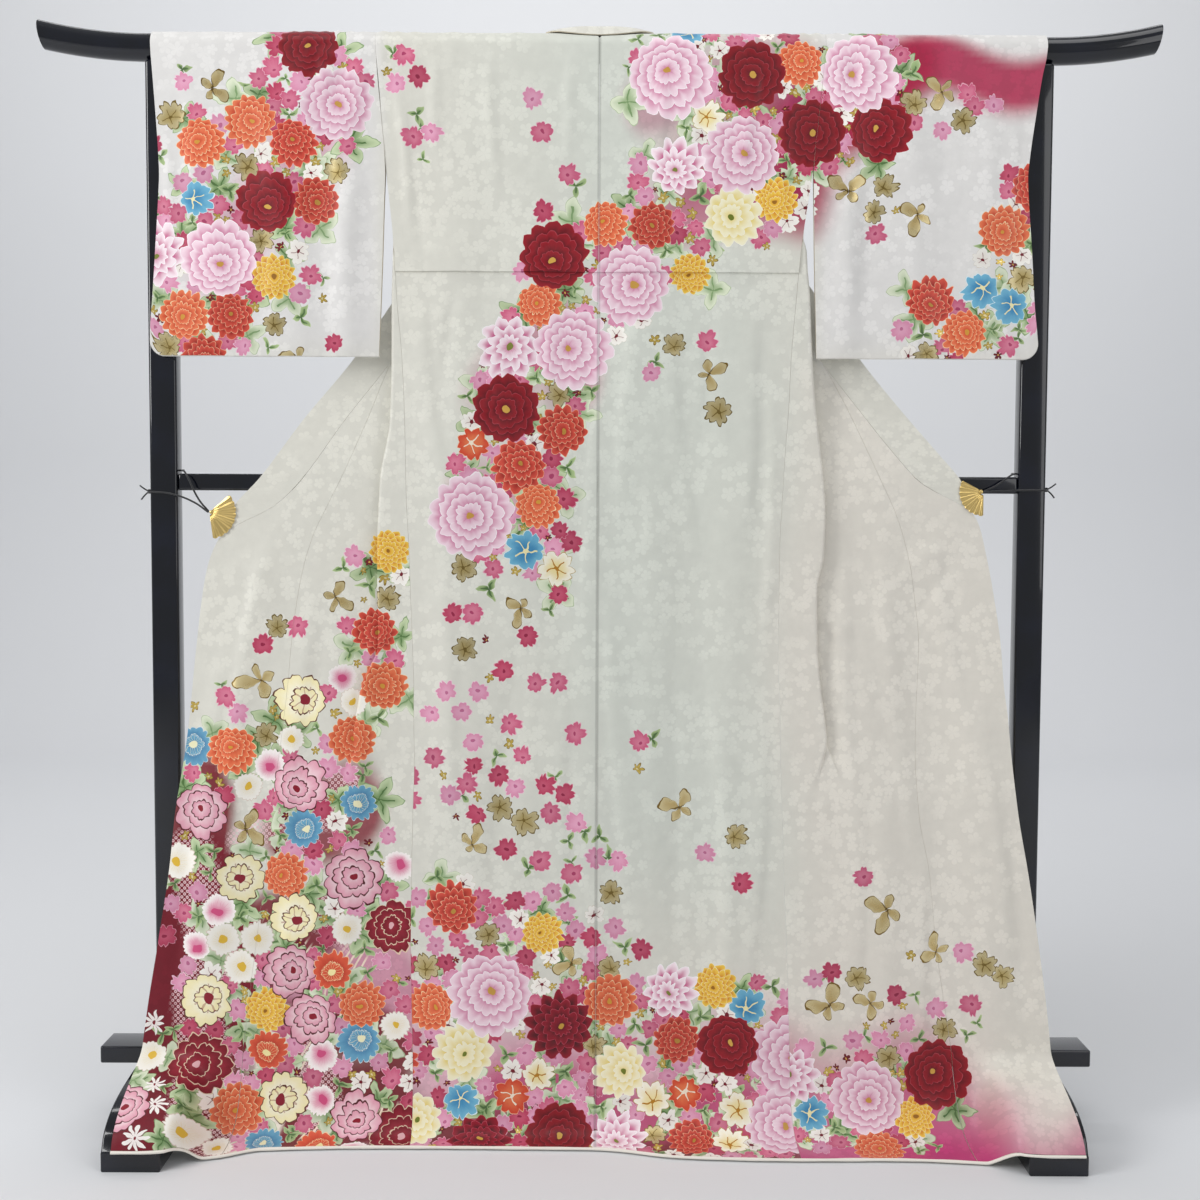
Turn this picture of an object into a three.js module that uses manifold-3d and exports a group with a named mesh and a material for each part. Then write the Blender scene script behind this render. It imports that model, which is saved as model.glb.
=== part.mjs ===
// A houmongi (a woman's visiting kimono) spread back outwards over a lacquered kimono stand, its two
// fronts drawn out sideways by fan clips tied to the posts. Millimetres, +Z up, the back of the garment
// facing -Y, the origin on the floor in the middle of the whole outline. Widths in the tables are measured
// from the centre-back seam.

import * as THREE from "three";
import { mergeVertices } from "three/addons/utils/BufferGeometryUtils.js";
import Module from "manifold-3d";

const wasm = await Module();
wasm.setup();

// ---------------------------------------------------------------- driving sizes
const GAP = 0.3; // clearance left at every seam and seat
const CLOTH = 2; // silk and its lining together
const STAND_SETBACK = 4; // how far the posts stand behind the middle of the whole outline

const BAR = { radius: 20, height: 1605, half: 824, straight: 660, rise: 19, slant: 7, sides: 20 };
const POST = { outer: 666, width: 41, depth: 30, corner: 5 };
const RAIL = { height: 968, tall: 25, depth: 25, corner: 4 };
const BOARD = { low: 92.3, tall: 26, depth: 60, half: 747, corner: 3 };
const FOOT = { middle: 650, width: 84, half: 196, toe: 29, corner: 3 };
const HEM_ROLL = { radius: 2.2, sides: 6 };
const TIE = { radius: 1.4, arcs: 3, steps: 44, knot: 4.4, clear: 3 * GAP };
const CLIP = { sheet: 1, ribs: 9, rib: 0.8, pinch: 0.5 };

const COLORS = {
  lacquer: 0x0c0f16,
  silk: 0xe4e0d4,
  sleeve: 0xe6dcd2,
  lining: 0xf2ecdc,
  brass: 0xb8903c,
  cord: 0x121212,
};

// Half of the foot's side outline, from toe to middle: distance from the post and height.
const FOOT_OUTLINE = [
  { reach: 196, height: 0 },
  { reach: 196, height: 27 },
  { reach: 193, height: 29 },
  { reach: 183, height: 49 },
  { reach: 152, height: 69 },
  { reach: 116, height: 80 },
  { reach: 66, height: 87.6 },
  { reach: 30, height: 91 },
  { reach: 0, height: 92 },
];

// Depth of each hanging layer. back: the back panels and the strip past the side seam. middle: the front
// folded back in behind them. rear: the front drawn out again to its free edge.
const HANG = [
  { height: 1605, back: -21.6, middle: 21.6, rear: 21.8 },
  { height: 1560, back: -22.8, middle: 21.4, rear: 22 },
  { height: 1500, back: -24.5, middle: 14, rear: 20 },
  { height: 1430, back: -26, middle: 8, rear: 15 },
  { height: 1300, back: -28, middle: 2, rear: 10 },
  { height: 1240, back: -29, middle: -2, rear: 6 },
  { height: 1150, back: -31, middle: -9, rear: -1 },
  { height: 1060, back: -34, middle: -19, rear: -11 },
  { height: 973, back: -37, middle: -28, rear: -20 },
  { height: 880, back: -39.5, middle: -31.5, rear: -23.5 },
  { height: 790, back: -42, middle: -34.5, rear: -27 },
  { height: 690, back: -45, middle: -38, rear: -31 },
  { height: 590, back: -48, middle: -42, rear: -36 },
  { height: 490, back: -51, middle: -48.5, rear: -46 },
  { height: 390, back: -54, middle: -53, rear: -52 },
  { height: 290, back: -57, middle: -57, rear: -57 },
  { height: 130, back: -62, middle: -62, rear: -62 },
  { height: 0, back: -62, middle: -62, rear: -62 },
];

// Sections of each side of the garment. side: side seam, or armhole edge above it. fold: outer turn of the
// front's pleat. turn: its inner turn. overlap: seam of the overlap panel. outer: that panel's other edge,
// which is the collar's seam down to the collar's end and the free front edge below. edge: the free edge of
// collar or front.
const SECTIONS = {
  left: [
    { height: 1605, side: 327, fold: 327, turn: 84, overlap: 84, outer: 84, edge: 140 },
    { height: 1550, side: 322, fold: 322, turn: 87, overlap: 94, outer: 94, edge: 150 },
    { height: 1500, side: 318, fold: 318, turn: 93, overlap: 106, outer: 106, edge: 162 },
    { height: 1430, side: 312, fold: 312, turn: 101, overlap: 121, outer: 121, edge: 181 },
    { height: 1300, side: 299, fold: 302, turn: 130, overlap: 202, outer: 202, edge: 262 },
    { height: 1240, side: 296, fold: 304, turn: 152, overlap: 242, outer: 242, edge: 304 },
    { height: 1150, side: 288, fold: 304, turn: 184, overlap: 306, outer: 306, edge: 365 },
    { height: 1060, side: 284, fold: 306, turn: 213, overlap: 343, outer: 376, edge: 438 },
    { height: 973, side: 282, fold: 320, turn: 245, overlap: 381, outer: 438, edge: 502 },
    { height: 935, side: 281, fold: 322, turn: 257, overlap: 400, outer: 476, edge: 537 },
    { height: 885, side: 278, fold: 324, turn: 272, overlap: 423, outer: 561, edge: 565 },
    { height: 830, side: 276, fold: 324, turn: 280, overlap: 438, outer: 581, edge: 581 },
    { height: 731, side: 272, fold: 322, turn: 288, overlap: 452, outer: 594, edge: 594 },
    { height: 670, side: 270, fold: 346, turn: 306, overlap: 457, outer: 600, edge: 600 },
    { height: 626, side: 270, fold: 354, turn: 326, overlap: 462, outer: 604, edge: 604 },
    { height: 560, side: 269, fold: 362, turn: 352, overlap: 470, outer: 612, edge: 612 },
    { height: 480, side: 271, fold: 364, turn: 362, overlap: 480, outer: 624, edge: 624 },
    { height: 393, side: 273, fold: 366, turn: 365, overlap: 488, outer: 633, edge: 633 },
    { height: 287, side: 274, fold: 370, turn: 369, overlap: 502, outer: 649, edge: 649 },
    { height: 173, side: 272, fold: 374, turn: 373, overlap: 516, outer: 667, edge: 667 },
    { height: 80, side: 270, fold: 378, turn: 377, overlap: 527, outer: 677, edge: 677 },
    { height: 0, side: 269, fold: 380, turn: 379, overlap: 534, outer: 675, edge: 675 },
  ],
  right: [
    { height: 1605, side: 330, fold: 330, turn: 84, overlap: 84, outer: 84, edge: 140 },
    { height: 1550, side: 325, fold: 325, turn: 87, overlap: 94, outer: 94, edge: 152 },
    { height: 1500, side: 320, fold: 320, turn: 95, overlap: 108, outer: 108, edge: 168 },
    { height: 1430, side: 313, fold: 313, turn: 108, overlap: 136, outer: 136, edge: 198 },
    { height: 1300, side: 295, fold: 306, turn: 146, overlap: 226, outer: 226, edge: 288 },
    { height: 1240, side: 290, fold: 311, turn: 174, overlap: 268, outer: 268, edge: 330 },
    { height: 1150, side: 283, fold: 315, turn: 213, overlap: 332, outer: 332, edge: 392 },
    { height: 1080, side: 280, fold: 320, turn: 240, overlap: 370, outer: 386, edge: 448 },
    { height: 1010, side: 275, fold: 328, turn: 266, overlap: 403, outer: 442, edge: 508 },
    { height: 973, side: 273, fold: 332, turn: 279, overlap: 420, outer: 476, edge: 539 },
    { height: 920, side: 270, fold: 335, turn: 297, overlap: 444, outer: 561, edge: 565 },
    { height: 860, side: 268, fold: 333, turn: 305, overlap: 462, outer: 578, edge: 578 },
    { height: 815, side: 268, fold: 324, turn: 301, overlap: 470, outer: 587, edge: 587 },
    { height: 731, side: 267, fold: 325, turn: 306, overlap: 479, outer: 600, edge: 600 },
    { height: 670, side: 269, fold: 330, turn: 313, overlap: 477, outer: 605, edge: 605 },
    { height: 626, side: 271, fold: 336, turn: 325, overlap: 475, outer: 611, edge: 611 },
    { height: 560, side: 272, fold: 344, turn: 338, overlap: 474, outer: 617, edge: 617 },
    { height: 480, side: 275, fold: 350, turn: 348, overlap: 479, outer: 626, edge: 626 },
    { height: 393, side: 278, fold: 358, turn: 357, overlap: 495, outer: 641, edge: 641 },
    { height: 287, side: 283, fold: 364, turn: 363, overlap: 506, outer: 657, edge: 657 },
    { height: 173, side: 287, fold: 372, turn: 371, overlap: 523, outer: 672, edge: 672 },
    { height: 80, side: 290, fold: 380, turn: 379, overlap: 537, outer: 681, edge: 681 },
    { height: 0, side: 295, fold: 386, turn: 385, overlap: 545, outer: 685, edge: 685 },
  ],
};

// How far the hem trails forward along the floor, across the whole spread. Widths here are signed.
const HEM = [
  { across: -690, reach: -201 },
  { across: -640, reach: -201 },
  { across: -604, reach: -197 },
  { across: -575, reach: -164 },
  { across: -534, reach: -150 },
  { across: -480, reach: -126 },
  { across: -290, reach: -117 },
  { across: 0, reach: -120 },
  { across: 130, reach: -147 },
  { across: 290, reach: -154 },
  { across: 420, reach: -152 },
  { across: 560, reach: -163 },
  { across: 604, reach: -197 },
  { across: 640, reach: -201 },
  { across: 690, reach: -201 },
];
const HEM_TOP = 130; // where the cloth starts to bend forward
const OVER_FOOT = { from: 556, to: 598 }; // widths between which the hem climbs on to the foot
const FLOOR_DRAPE = { belly: [-66, 40], knee: [-80, 4.4], edge: 4.4 };
const FOOT_DRAPE = { belly: [-60, 97], knee: [-185, 86], edge: 33 };

// Soft vertical swells that all the layers share. across: signed width at the top and at the foot of the
// swell.
const SWELLS = [
  { top: 1560, foot: 120, acrossTop: -212, acrossFoot: -186, width: 38, depth: 5 },
  { top: 1500, foot: 60, acrossTop: -92, acrossFoot: -118, width: 44, depth: 6 },
  { top: 1240, foot: 30, acrossTop: -22, acrossFoot: -8, width: 30, depth: 4 },
  { top: 1560, foot: 300, acrossTop: 74, acrossFoot: 96, width: 40, depth: 5 },
  { top: 1400, foot: 40, acrossTop: 186, acrossFoot: 205, width: 36, depth: 6 },
  { top: 900, foot: 20, acrossTop: -372, acrossFoot: -398, width: 40, depth: 7 },
  { top: 760, foot: 20, acrossTop: -540, acrossFoot: -592, width: 34, depth: 6 },
  { top: 860, foot: 30, acrossTop: 392, acrossFoot: 440, width: 42, depth: 7 },
  { top: 700, foot: 20, acrossTop: 552, acrossFoot: 604, width: 36, depth: 6 },
];

// Edge of the neck opening as the body cloth rounds the bar. round: degrees past the top, towards the side
// where the fronts hang.
const NECK = [
  { round: -90, half: GAP / 2 },
  { round: -71, half: GAP / 2 },
  { round: -52, half: GAP / 2 },
  { round: -40, half: 38 },
  { round: -22, half: 62 },
  { round: 0, half: 75 },
  { round: 23, half: 79 },
  { round: 46, half: 81 },
  { round: 68, half: 82.5 },
  { round: 90, half: 84 },
];

// Half of the collar where it rounds the neck, from the centre back outwards: its seam, its crown and its
// free edge.
const COLLAR_NECK = [
  { seam: [0, -17.2, 1621], crown: [0, 0, 1656], free: [0, 27, 1617] },
  { seam: [22, -16.6, 1622.4], crown: [21, 1, 1657], free: [17, 27.5, 1614] },
  { seam: [42, -14, 1625], crown: [38, 4, 1655], free: [30, 28, 1608] },
  { seam: [62, -8, 1628.6], crown: [53, 12, 1650], free: [36, 28, 1600] },
  { seam: [78, 3, 1630.2], crown: [64, 21, 1640], free: [38, 27.5, 1592] },
  { seam: [84, 17.8, 1622.8], crown: [66, 28, 1622], free: [38, 27.5, 1583] },
  { seam: [85, 24.6, 1611], crown: [66, 31, 1610], free: [37, 27.5, 1576] },
  { seam: [86, 25.6, 1601], crown: [66, 30, 1598], free: [36, 28, 1570] },
];

// The collar swings over from lying inwards to lying outwards as it comes down behind the bar.
const COLLAR_SWING = [
  { height: 1605, swing: 180, width: 50, lap: 3, clear: 1.5 },
  { height: 1590, swing: 176, width: 51, lap: 3, clear: 1.8 },
  { height: 1550, swing: 136, width: 52, lap: 3, clear: 2 },
  { height: 1500, swing: 82, width: 54, lap: 1.4, clear: 2 },
  { height: 1465, swing: 34, width: 57, lap: 0.4, clear: 1.6 },
  { height: 1430, swing: 0, width: 60, lap: 0, clear: 0.5 },
  { height: 885, swing: 0, width: 60, lap: 0, clear: 0.5 },
];

// Sleeves: the seam or open inner edge, and the outer edge of the layer before the bar and of the one
// behind it.
const SLEEVES = {
  left: [
    { height: 1605, inner: 327, front: 655, behind: 655 },
    { height: 1588, inner: 325.5, front: 654, behind: 650 },
    { height: 1565, inner: 324, front: 652, behind: 613 },
    { height: 1500, inner: 318, front: 647, behind: 611 },
    { height: 1440, inner: 313, front: 643, behind: 612 },
    { height: 1415, inner: 312, front: 642, behind: 634 },
    { height: 1392, inner: 313, front: 643, behind: 643 },
    { height: 1300, inner: 316, front: 649, behind: 649 },
    { height: 1200, inner: 320, front: 656, behind: 656 },
    { height: 1153, inner: 322, front: 658, behind: 658 },
  ],
  right: [
    { height: 1605, inner: 330, front: 653, behind: 653 },
    { height: 1588, inner: 328.5, front: 651, behind: 648 },
    { height: 1565, inner: 326.5, front: 646, behind: 612 },
    { height: 1500, inner: 320, front: 636, behind: 610 },
    { height: 1440, inner: 314, front: 628, behind: 610 },
    { height: 1415, inner: 313, front: 626, behind: 622 },
    { height: 1392, inner: 313.5, front: 627, behind: 627 },
    { height: 1300, inner: 315.5, front: 634, behind: 634 },
    { height: 1200, inner: 318.5, front: 641, behind: 641 },
    { height: 1153, inner: 320, front: 645, behind: 645 },
  ],
};
const SLEEVE_HANG = [
  { height: 1605, front: -21.6, behind: 21.6 },
  { height: 1565, front: -23, behind: 21.4 },
  { height: 1540, front: -24, behind: 17 },
  { height: 1500, front: -25, behind: 8 },
  { height: 1440, front: -27, behind: -13 },
  { height: 1415, front: -28, behind: -20 },
  { height: 1392, front: -28.5, behind: -21 },
  { height: 1300, front: -30, behind: -22 },
  { height: 1200, front: -30, behind: -23 },
  { height: 1153, front: -29, behind: -26.3 },
];
const SLEEVE = { foot: 1153, corner: 22, cornerTop: 1250, mouthFoot: 1400, mouthEnd: 1440, columns: 10 };
const SLEEVE_SEAM = { blend: 30, reach: 60 }; // how far the sewn edges hold the two layers together
const SLEEVE_SWELLS = [
  { top: 1560, foot: 1100, acrossTop: -372, acrossFoot: -366, width: 20, depth: 6 },
  { top: 1585, foot: 1100, acrossTop: -468, acrossFoot: -440, width: 34, depth: 5 },
  { top: 1540, foot: 1100, acrossTop: -566, acrossFoot: -580, width: 34, depth: 4 },
  { top: 1560, foot: 1100, acrossTop: 366, acrossFoot: 360, width: 20, depth: 6 },
  { top: 1585, foot: 1100, acrossTop: 452, acrossFoot: 470, width: 34, depth: 5 },
  { top: 1540, foot: 1100, acrossTop: 560, acrossFoot: 570, width: 30, depth: 4 },
];

// Heights of the rows of each panel; below HEM_TOP they count the cloth's way round the bend down to its
// edge.
const FRONT_ROWS = [
  0, 22, 44, 66, 88, 110, 130, 230, 340, 450, 560, 626, 670, 700, 731, 800, 885, 903, 920, 935, 973, 1030,
  1105, 1150, 1240, 1300, 1365, 1430, 1465, 1500, 1550, 1590,
];
const BACK_ROWS = [
  0, 22, 44, 66, 88, 110, 130, 340, 560, 731, 935, 1150, 1240, 1273, 1277, 1300, 1365, 1430, 1500, 1590,
];
const TUCK = { top: 1365, height: 1277, foot: 1240, depth: 2.4 }; // the waist tuck sewn across the back
const PLEAT = { curve: 3.5, gone: 470, full: 600 }; // the fronts' pleat, which runs out towards the hem
const OVERLAP = { top: 1105, shares: [0, 0.2, 0.44, 0.72, 1] };
const COLLAR_FOOT = { left: 885, right: 920 };
const PANEL_COLUMNS = 13;

const CLIPS = {
  left: { across: 575, height: 923, from: -82, to: 41, reach: 40, knot: 0.66 },
  right: { across: 571, height: 958, from: -90, to: 28, reach: 36, knot: 0.3 },
};
const SIGN = { left: -1, right: 1 };

// ---------------------------------------------------------------- helpers
const mix = THREE.MathUtils.lerp;
const ease = THREE.MathUtils.smoothstep;
const radians = THREE.MathUtils.degToRad;

// The value of one column of a table at a place along its key column, on a smooth line through the rows.
function along(table, column, place, key = "height") {
  const rows = table[0][key] > table[table.length - 1][key] ? [...table].reverse() : table;
  const last = rows.length - 1;
  if (place <= rows[0][key]) return rows[0][column];
  if (place >= rows[last][key]) return rows[last][column];
  let i = 0;
  while (rows[i + 1][key] < place) i += 1;
  const slope = (a, b) => (rows[b][column] - rows[a][column]) / (rows[b][key] - rows[a][key]);
  const here = slope(i, i + 1);
  const limited = (other) => (other * here <= 0 ? 0 : (2 * other * here) / (other + here));
  const before = i > 0 ? limited(slope(i - 1, i)) : here;
  const after = i < last - 1 ? limited(slope(i + 1, i + 2)) : here;
  const span = rows[i + 1][key] - rows[i][key];
  const t = (place - rows[i][key]) / span;
  const cubic = 3 * here - 2 * before - after;
  return rows[i][column] + span * t * (before + t * (cubic + t * (before + after - 2 * here)));
}

// Turns a closed geometry's faces outwards.
function outward(geometry) {
  const p = geometry.getAttribute("position");
  const index = geometry.index.array;
  const corner = [new THREE.Vector3(), new THREE.Vector3(), new THREE.Vector3()];
  let volume = 0;
  for (let i = 0; i < index.length; i += 3) {
    corner.forEach((v, k) => v.fromBufferAttribute(p, index[i + k]));
    volume += corner[0].dot(corner[1].cross(corner[2]));
  }
  if (volume < 0) {
    for (let i = 0; i < index.length; i += 3) [index[i], index[i + 1]] = [index[i + 1], index[i]];
  }
  geometry.computeVertexNormals();
  return geometry;
}

function geometryOf(points, faces) {
  const geometry = new THREE.BufferGeometry().setFromPoints(points);
  geometry.setIndex(faces);
  return outward(geometry);
}

// A sheet of cloth or metal of the given thickness, half of it on each side of a grid of points.
function wall(grid, thickness) {
  const rows = grid.length;
  const columns = grid[0].length;
  const points = [];
  const at = (i, j, face) => 2 * (i * columns + j) + face;
  grid.forEach((row, i) =>
    row.forEach((point, j) => {
      const acrossWay = row[Math.min(j + 1, columns - 1)].clone().sub(row[Math.max(j - 1, 0)]);
      const downWay = grid[Math.min(i + 1, rows - 1)][j].clone().sub(grid[Math.max(i - 1, 0)][j]);
      const normal = acrossWay.cross(downWay).setLength(thickness / 2);
      points.push(point.clone().add(normal), point.clone().sub(normal));
    }),
  );
  const faces = [];
  const quad = (a, b, c, d) => faces.push(a, b, c, a, c, d);
  for (let i = 0; i < rows - 1; i += 1) {
    for (let j = 0; j < columns - 1; j += 1) {
      quad(at(i, j, 0), at(i, j + 1, 0), at(i + 1, j + 1, 0), at(i + 1, j, 0));
      quad(at(i, j, 1), at(i + 1, j, 1), at(i + 1, j + 1, 1), at(i, j + 1, 1));
    }
    quad(at(i, 0, 0), at(i + 1, 0, 0), at(i + 1, 0, 1), at(i, 0, 1));
    quad(at(i, columns - 1, 1), at(i + 1, columns - 1, 1), at(i + 1, columns - 1, 0), at(i, columns - 1, 0));
  }
  for (let j = 0; j < columns - 1; j += 1) {
    quad(at(0, j, 1), at(0, j + 1, 1), at(0, j + 1, 0), at(0, j, 0));
    quad(at(rows - 1, j, 0), at(rows - 1, j + 1, 0), at(rows - 1, j + 1, 1), at(rows - 1, j, 1));
  }
  return geometryOf(points, faces);
}

// A closed body through a list of rings, each with the same number of points.
function loft(rings) {
  const sides = rings[0].length;
  const points = rings.flat();
  const faces = [];
  for (let i = 0; i < rings.length - 1; i += 1) {
    for (let j = 0; j < sides; j += 1) {
      const next = (j + 1) % sides;
      const [a, b] = [i * sides + j, i * sides + next];
      faces.push(a, b, b + sides, a, b + sides, a + sides);
    }
  }
  const end = (rings.length - 1) * sides;
  for (let j = 1; j < sides - 1; j += 1) {
    faces.push(0, j + 1, j);
    faces.push(end, end + j, end + j + 1);
  }
  return geometryOf(points, faces);
}

function roundedRectangle(width, depth, corner) {
  const [x, y] = [width / 2, depth / 2];
  const shape = new THREE.Shape();
  shape.moveTo(-x + corner, -y);
  shape.lineTo(x - corner, -y);
  shape.absarc(x - corner, -y + corner, corner, -Math.PI / 2, 0);
  shape.lineTo(x, y - corner);
  shape.absarc(x - corner, y - corner, corner, 0, Math.PI / 2);
  shape.lineTo(-x + corner, y);
  shape.absarc(-x + corner, y - corner, corner, Math.PI / 2, Math.PI);
  shape.lineTo(-x, -y + corner);
  shape.absarc(-x + corner, -y + corner, corner, Math.PI, Math.PI * 1.5);
  return shape;
}

// A length of squared timber with eased long edges.
function timber(width, depth, length, corner) {
  return new THREE.ExtrudeGeometry(roundedRectangle(width, depth, corner), {
    depth: length,
    bevelEnabled: false,
    curveSegments: 4,
  });
}

function material(color, roughness, metalness) {
  return new THREE.MeshStandardMaterial({ color, roughness, metalness });
}

function part(name, geometry, finish) {
  const mesh = new THREE.Mesh(geometry, finish);
  mesh.name = name;
  return mesh;
}

function solid(geometry) {
  const bare = geometry.clone();
  bare.deleteAttribute("normal");
  bare.deleteAttribute("uv");
  const merged = mergeVertices(bare, 1e-3);
  return new wasm.Manifold(
    new wasm.Mesh({
      numProp: 3,
      vertProperties: merged.getAttribute("position").array,
      triVerts: new Uint32Array(merged.index.array),
    }),
  );
}

function joined(geometries) {
  const mesh = geometries.map(solid).reduce((a, b) => a.add(b)).getMesh();
  const geometry = new THREE.BufferGeometry();
  geometry.setAttribute("position", new THREE.BufferAttribute(mesh.vertProperties, 3));
  geometry.setIndex(new THREE.BufferAttribute(mesh.triVerts, 1));
  geometry.computeVertexNormals();
  return geometry;
}

function rod(points, radius, arcs, steps) {
  const path = new THREE.CatmullRomCurve3(points, false, "centripetal");
  const section = new THREE.Shape();
  section.absarc(0, 0, radius, 0, 2 * Math.PI);
  return new THREE.ExtrudeGeometry(section, { steps, extrudePath: path, curveSegments: arcs });
}

// ---------------------------------------------------------------- stand
// The bar is straight under the garment; past the posts it sweeps up, and its ends are cut on a slant.
function barGeometry() {
  const stations = [660, 700, 740, 780, 812, 822];
  const places = [...stations.map((x) => -x).reverse(), ...stations];
  const ring = (across, radius, slant) =>
    Array.from({ length: BAR.sides }, (_, k) => {
      const angle = (2 * Math.PI * k) / BAR.sides;
      const past = Math.max(0, Math.abs(across) - BAR.straight) / (BAR.half - BAR.straight);
      const lift = BAR.rise * past * past;
      const out = slant * Math.sign(across) * Math.cos(angle);
      return new THREE.Vector3(
        across + out,
        radius * Math.sin(angle),
        BAR.height + lift + radius * Math.cos(angle),
      );
    });
  const end = BAR.half - BAR.slant / 2;
  const rings = places.map((across) => {
    const near = Math.abs(across) > 800;
    return ring(across - (near ? Math.sign(across) * BAR.slant : 0), BAR.radius, near ? BAR.slant / 2 : 0);
  });
  rings.unshift(ring(-end, BAR.radius - 3, BAR.slant / 2));
  rings.push(ring(end, BAR.radius - 3, BAR.slant / 2));
  return loft(rings);
}

function footGeometry() {
  const shape = new THREE.Shape();
  FOOT_OUTLINE.forEach(({ reach, height }, i) =>
    i ? shape.lineTo(-reach, height) : shape.moveTo(-reach, height),
  );
  [...FOOT_OUTLINE].reverse().slice(1).forEach(({ reach, height }) => shape.lineTo(reach, height));
  return new THREE.ExtrudeGeometry(shape, {
    depth: FOOT.width - 2 * FOOT.corner,
    bevelThickness: FOOT.corner,
    bevelSize: FOOT.corner,
    bevelOffset: -FOOT.corner,
    bevelSegments: 2,
  });
}

function stand() {
  const lacquer = () => material(COLORS.lacquer, 0.12, 0);
  const group = new THREE.Group();
  group.add(part("top_bar", barGeometry(), lacquer()));

  const postFoot = BOARD.low + BOARD.tall + GAP;
  const postHead = BAR.height - BAR.radius - GAP;
  for (const [side, sign] of Object.entries(SIGN)) {
    const post = part(
      "post_" + side,
      timber(POST.width, POST.depth, postHead - postFoot, POST.corner),
      lacquer(),
    );
    post.position.set(sign * (POST.outer - POST.width / 2), 0, postFoot);
    const foot = part("foot_" + side, footGeometry(), lacquer());
    foot.rotation.set(Math.PI / 2, Math.PI / 2, 0);
    foot.position.x = sign * FOOT.middle - (FOOT.width / 2 - FOOT.corner);
    group.add(post, foot);
  }

  const railHalf = POST.outer - POST.width - GAP;
  const rail = part("cross_rail", timber(RAIL.tall, RAIL.depth, 2 * railHalf, RAIL.corner), lacquer());
  rail.rotation.y = Math.PI / 2;
  rail.position.set(-railHalf, 0, RAIL.height);
  const plank = timber(BOARD.tall, BOARD.depth, 2 * BOARD.half, BOARD.corner);
  const board = part("base_board", plank, lacquer());
  board.rotation.y = Math.PI / 2;
  board.position.set(-BOARD.half, 0, BOARD.low + BOARD.tall / 2);
  group.add(rail, board);
  return group;
}

// ---------------------------------------------------------------- how the cloth hangs
// How far the swells of a table push the cloth forward at a place.
function swell(table, across, height) {
  return table.reduce((sum, fold) => {
    const down = THREE.MathUtils.clamp((fold.top - height) / (fold.top - fold.foot), 0, 1);
    const middle = mix(fold.acrossTop, fold.acrossFoot, down);
    const strength = ease(down, 0, 0.25) * (1 - 0.5 * ease(down, 0.8, 1));
    return sum + fold.depth * strength * Math.exp(-(((across - middle) / fold.width) ** 2));
  }, 0);
}

// A point of the hanging cloth at a signed width, a row height and the depth of its layer. Below HEM_TOP
// the cloth bends forward along a cubic curve, on to the floor or over the foot.
function hang(across, row, depth) {
  if (row >= HEM_TOP) return new THREE.Vector3(across, depth - swell(SWELLS, across, row), row);
  const climb = ease(Math.abs(across), OVER_FOOT.from, OVER_FOOT.to);
  const lift = swell(SWELLS, across, HEM_TOP);
  const blend = (name, k) => mix(FLOOR_DRAPE[name][k], FOOT_DRAPE[name][k], climb);
  const u = 1 - row / HEM_TOP;
  const cubic = (a, b, c, d) =>
    a * (1 - u) ** 3 + 3 * b * u * (1 - u) ** 2 + 3 * c * u * u * (1 - u) + d * u ** 3;
  const reach = along(HEM, "reach", across, "across");
  return new THREE.Vector3(
    across,
    cubic(depth - lift, blend("belly", 0) - lift, blend("knee", 0), reach),
    cubic(HEM_TOP, blend("belly", 1), blend("knee", 1), mix(FLOOR_DRAPE.edge, FOOT_DRAPE.edge, climb)),
  );
}

function roundBar(across, round) {
  const reach = BAR.radius + GAP * 2 + CLOTH / 2;
  return new THREE.Vector3(
    across,
    reach * Math.sin(radians(round)),
    BAR.height + reach * Math.cos(radians(round)),
  );
}

// ---------------------------------------------------------------- body panels
function backRow(side, row) {
  const edge = along(SECTIONS[side], "side", row) - GAP / 2;
  const tuck = row >= TUCK.foot && row < TUCK.height ? 0 : TUCK.depth * ease(row, TUCK.foot, TUCK.height);
  const above = row >= TUCK.height ? TUCK.depth * (1 - ease(row, TUCK.height, TUCK.top)) : 0;
  return Array.from({ length: PANEL_COLUMNS + 1 }, (_, j) => {
    const across = SIGN[side] * mix(GAP / 2, edge, j / PANEL_COLUMNS);
    const depth = along(HANG, "back", row) - Math.min(tuck, above);
    return hang(across, row, depth);
  });
}

// Half the clearance at the overlap seam, which opens a little where the cloth bends round on to the floor.
function overlapSeam(row) {
  return GAP * mix(1.6, 0.5, ease(row, 0, 210));
}

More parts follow.
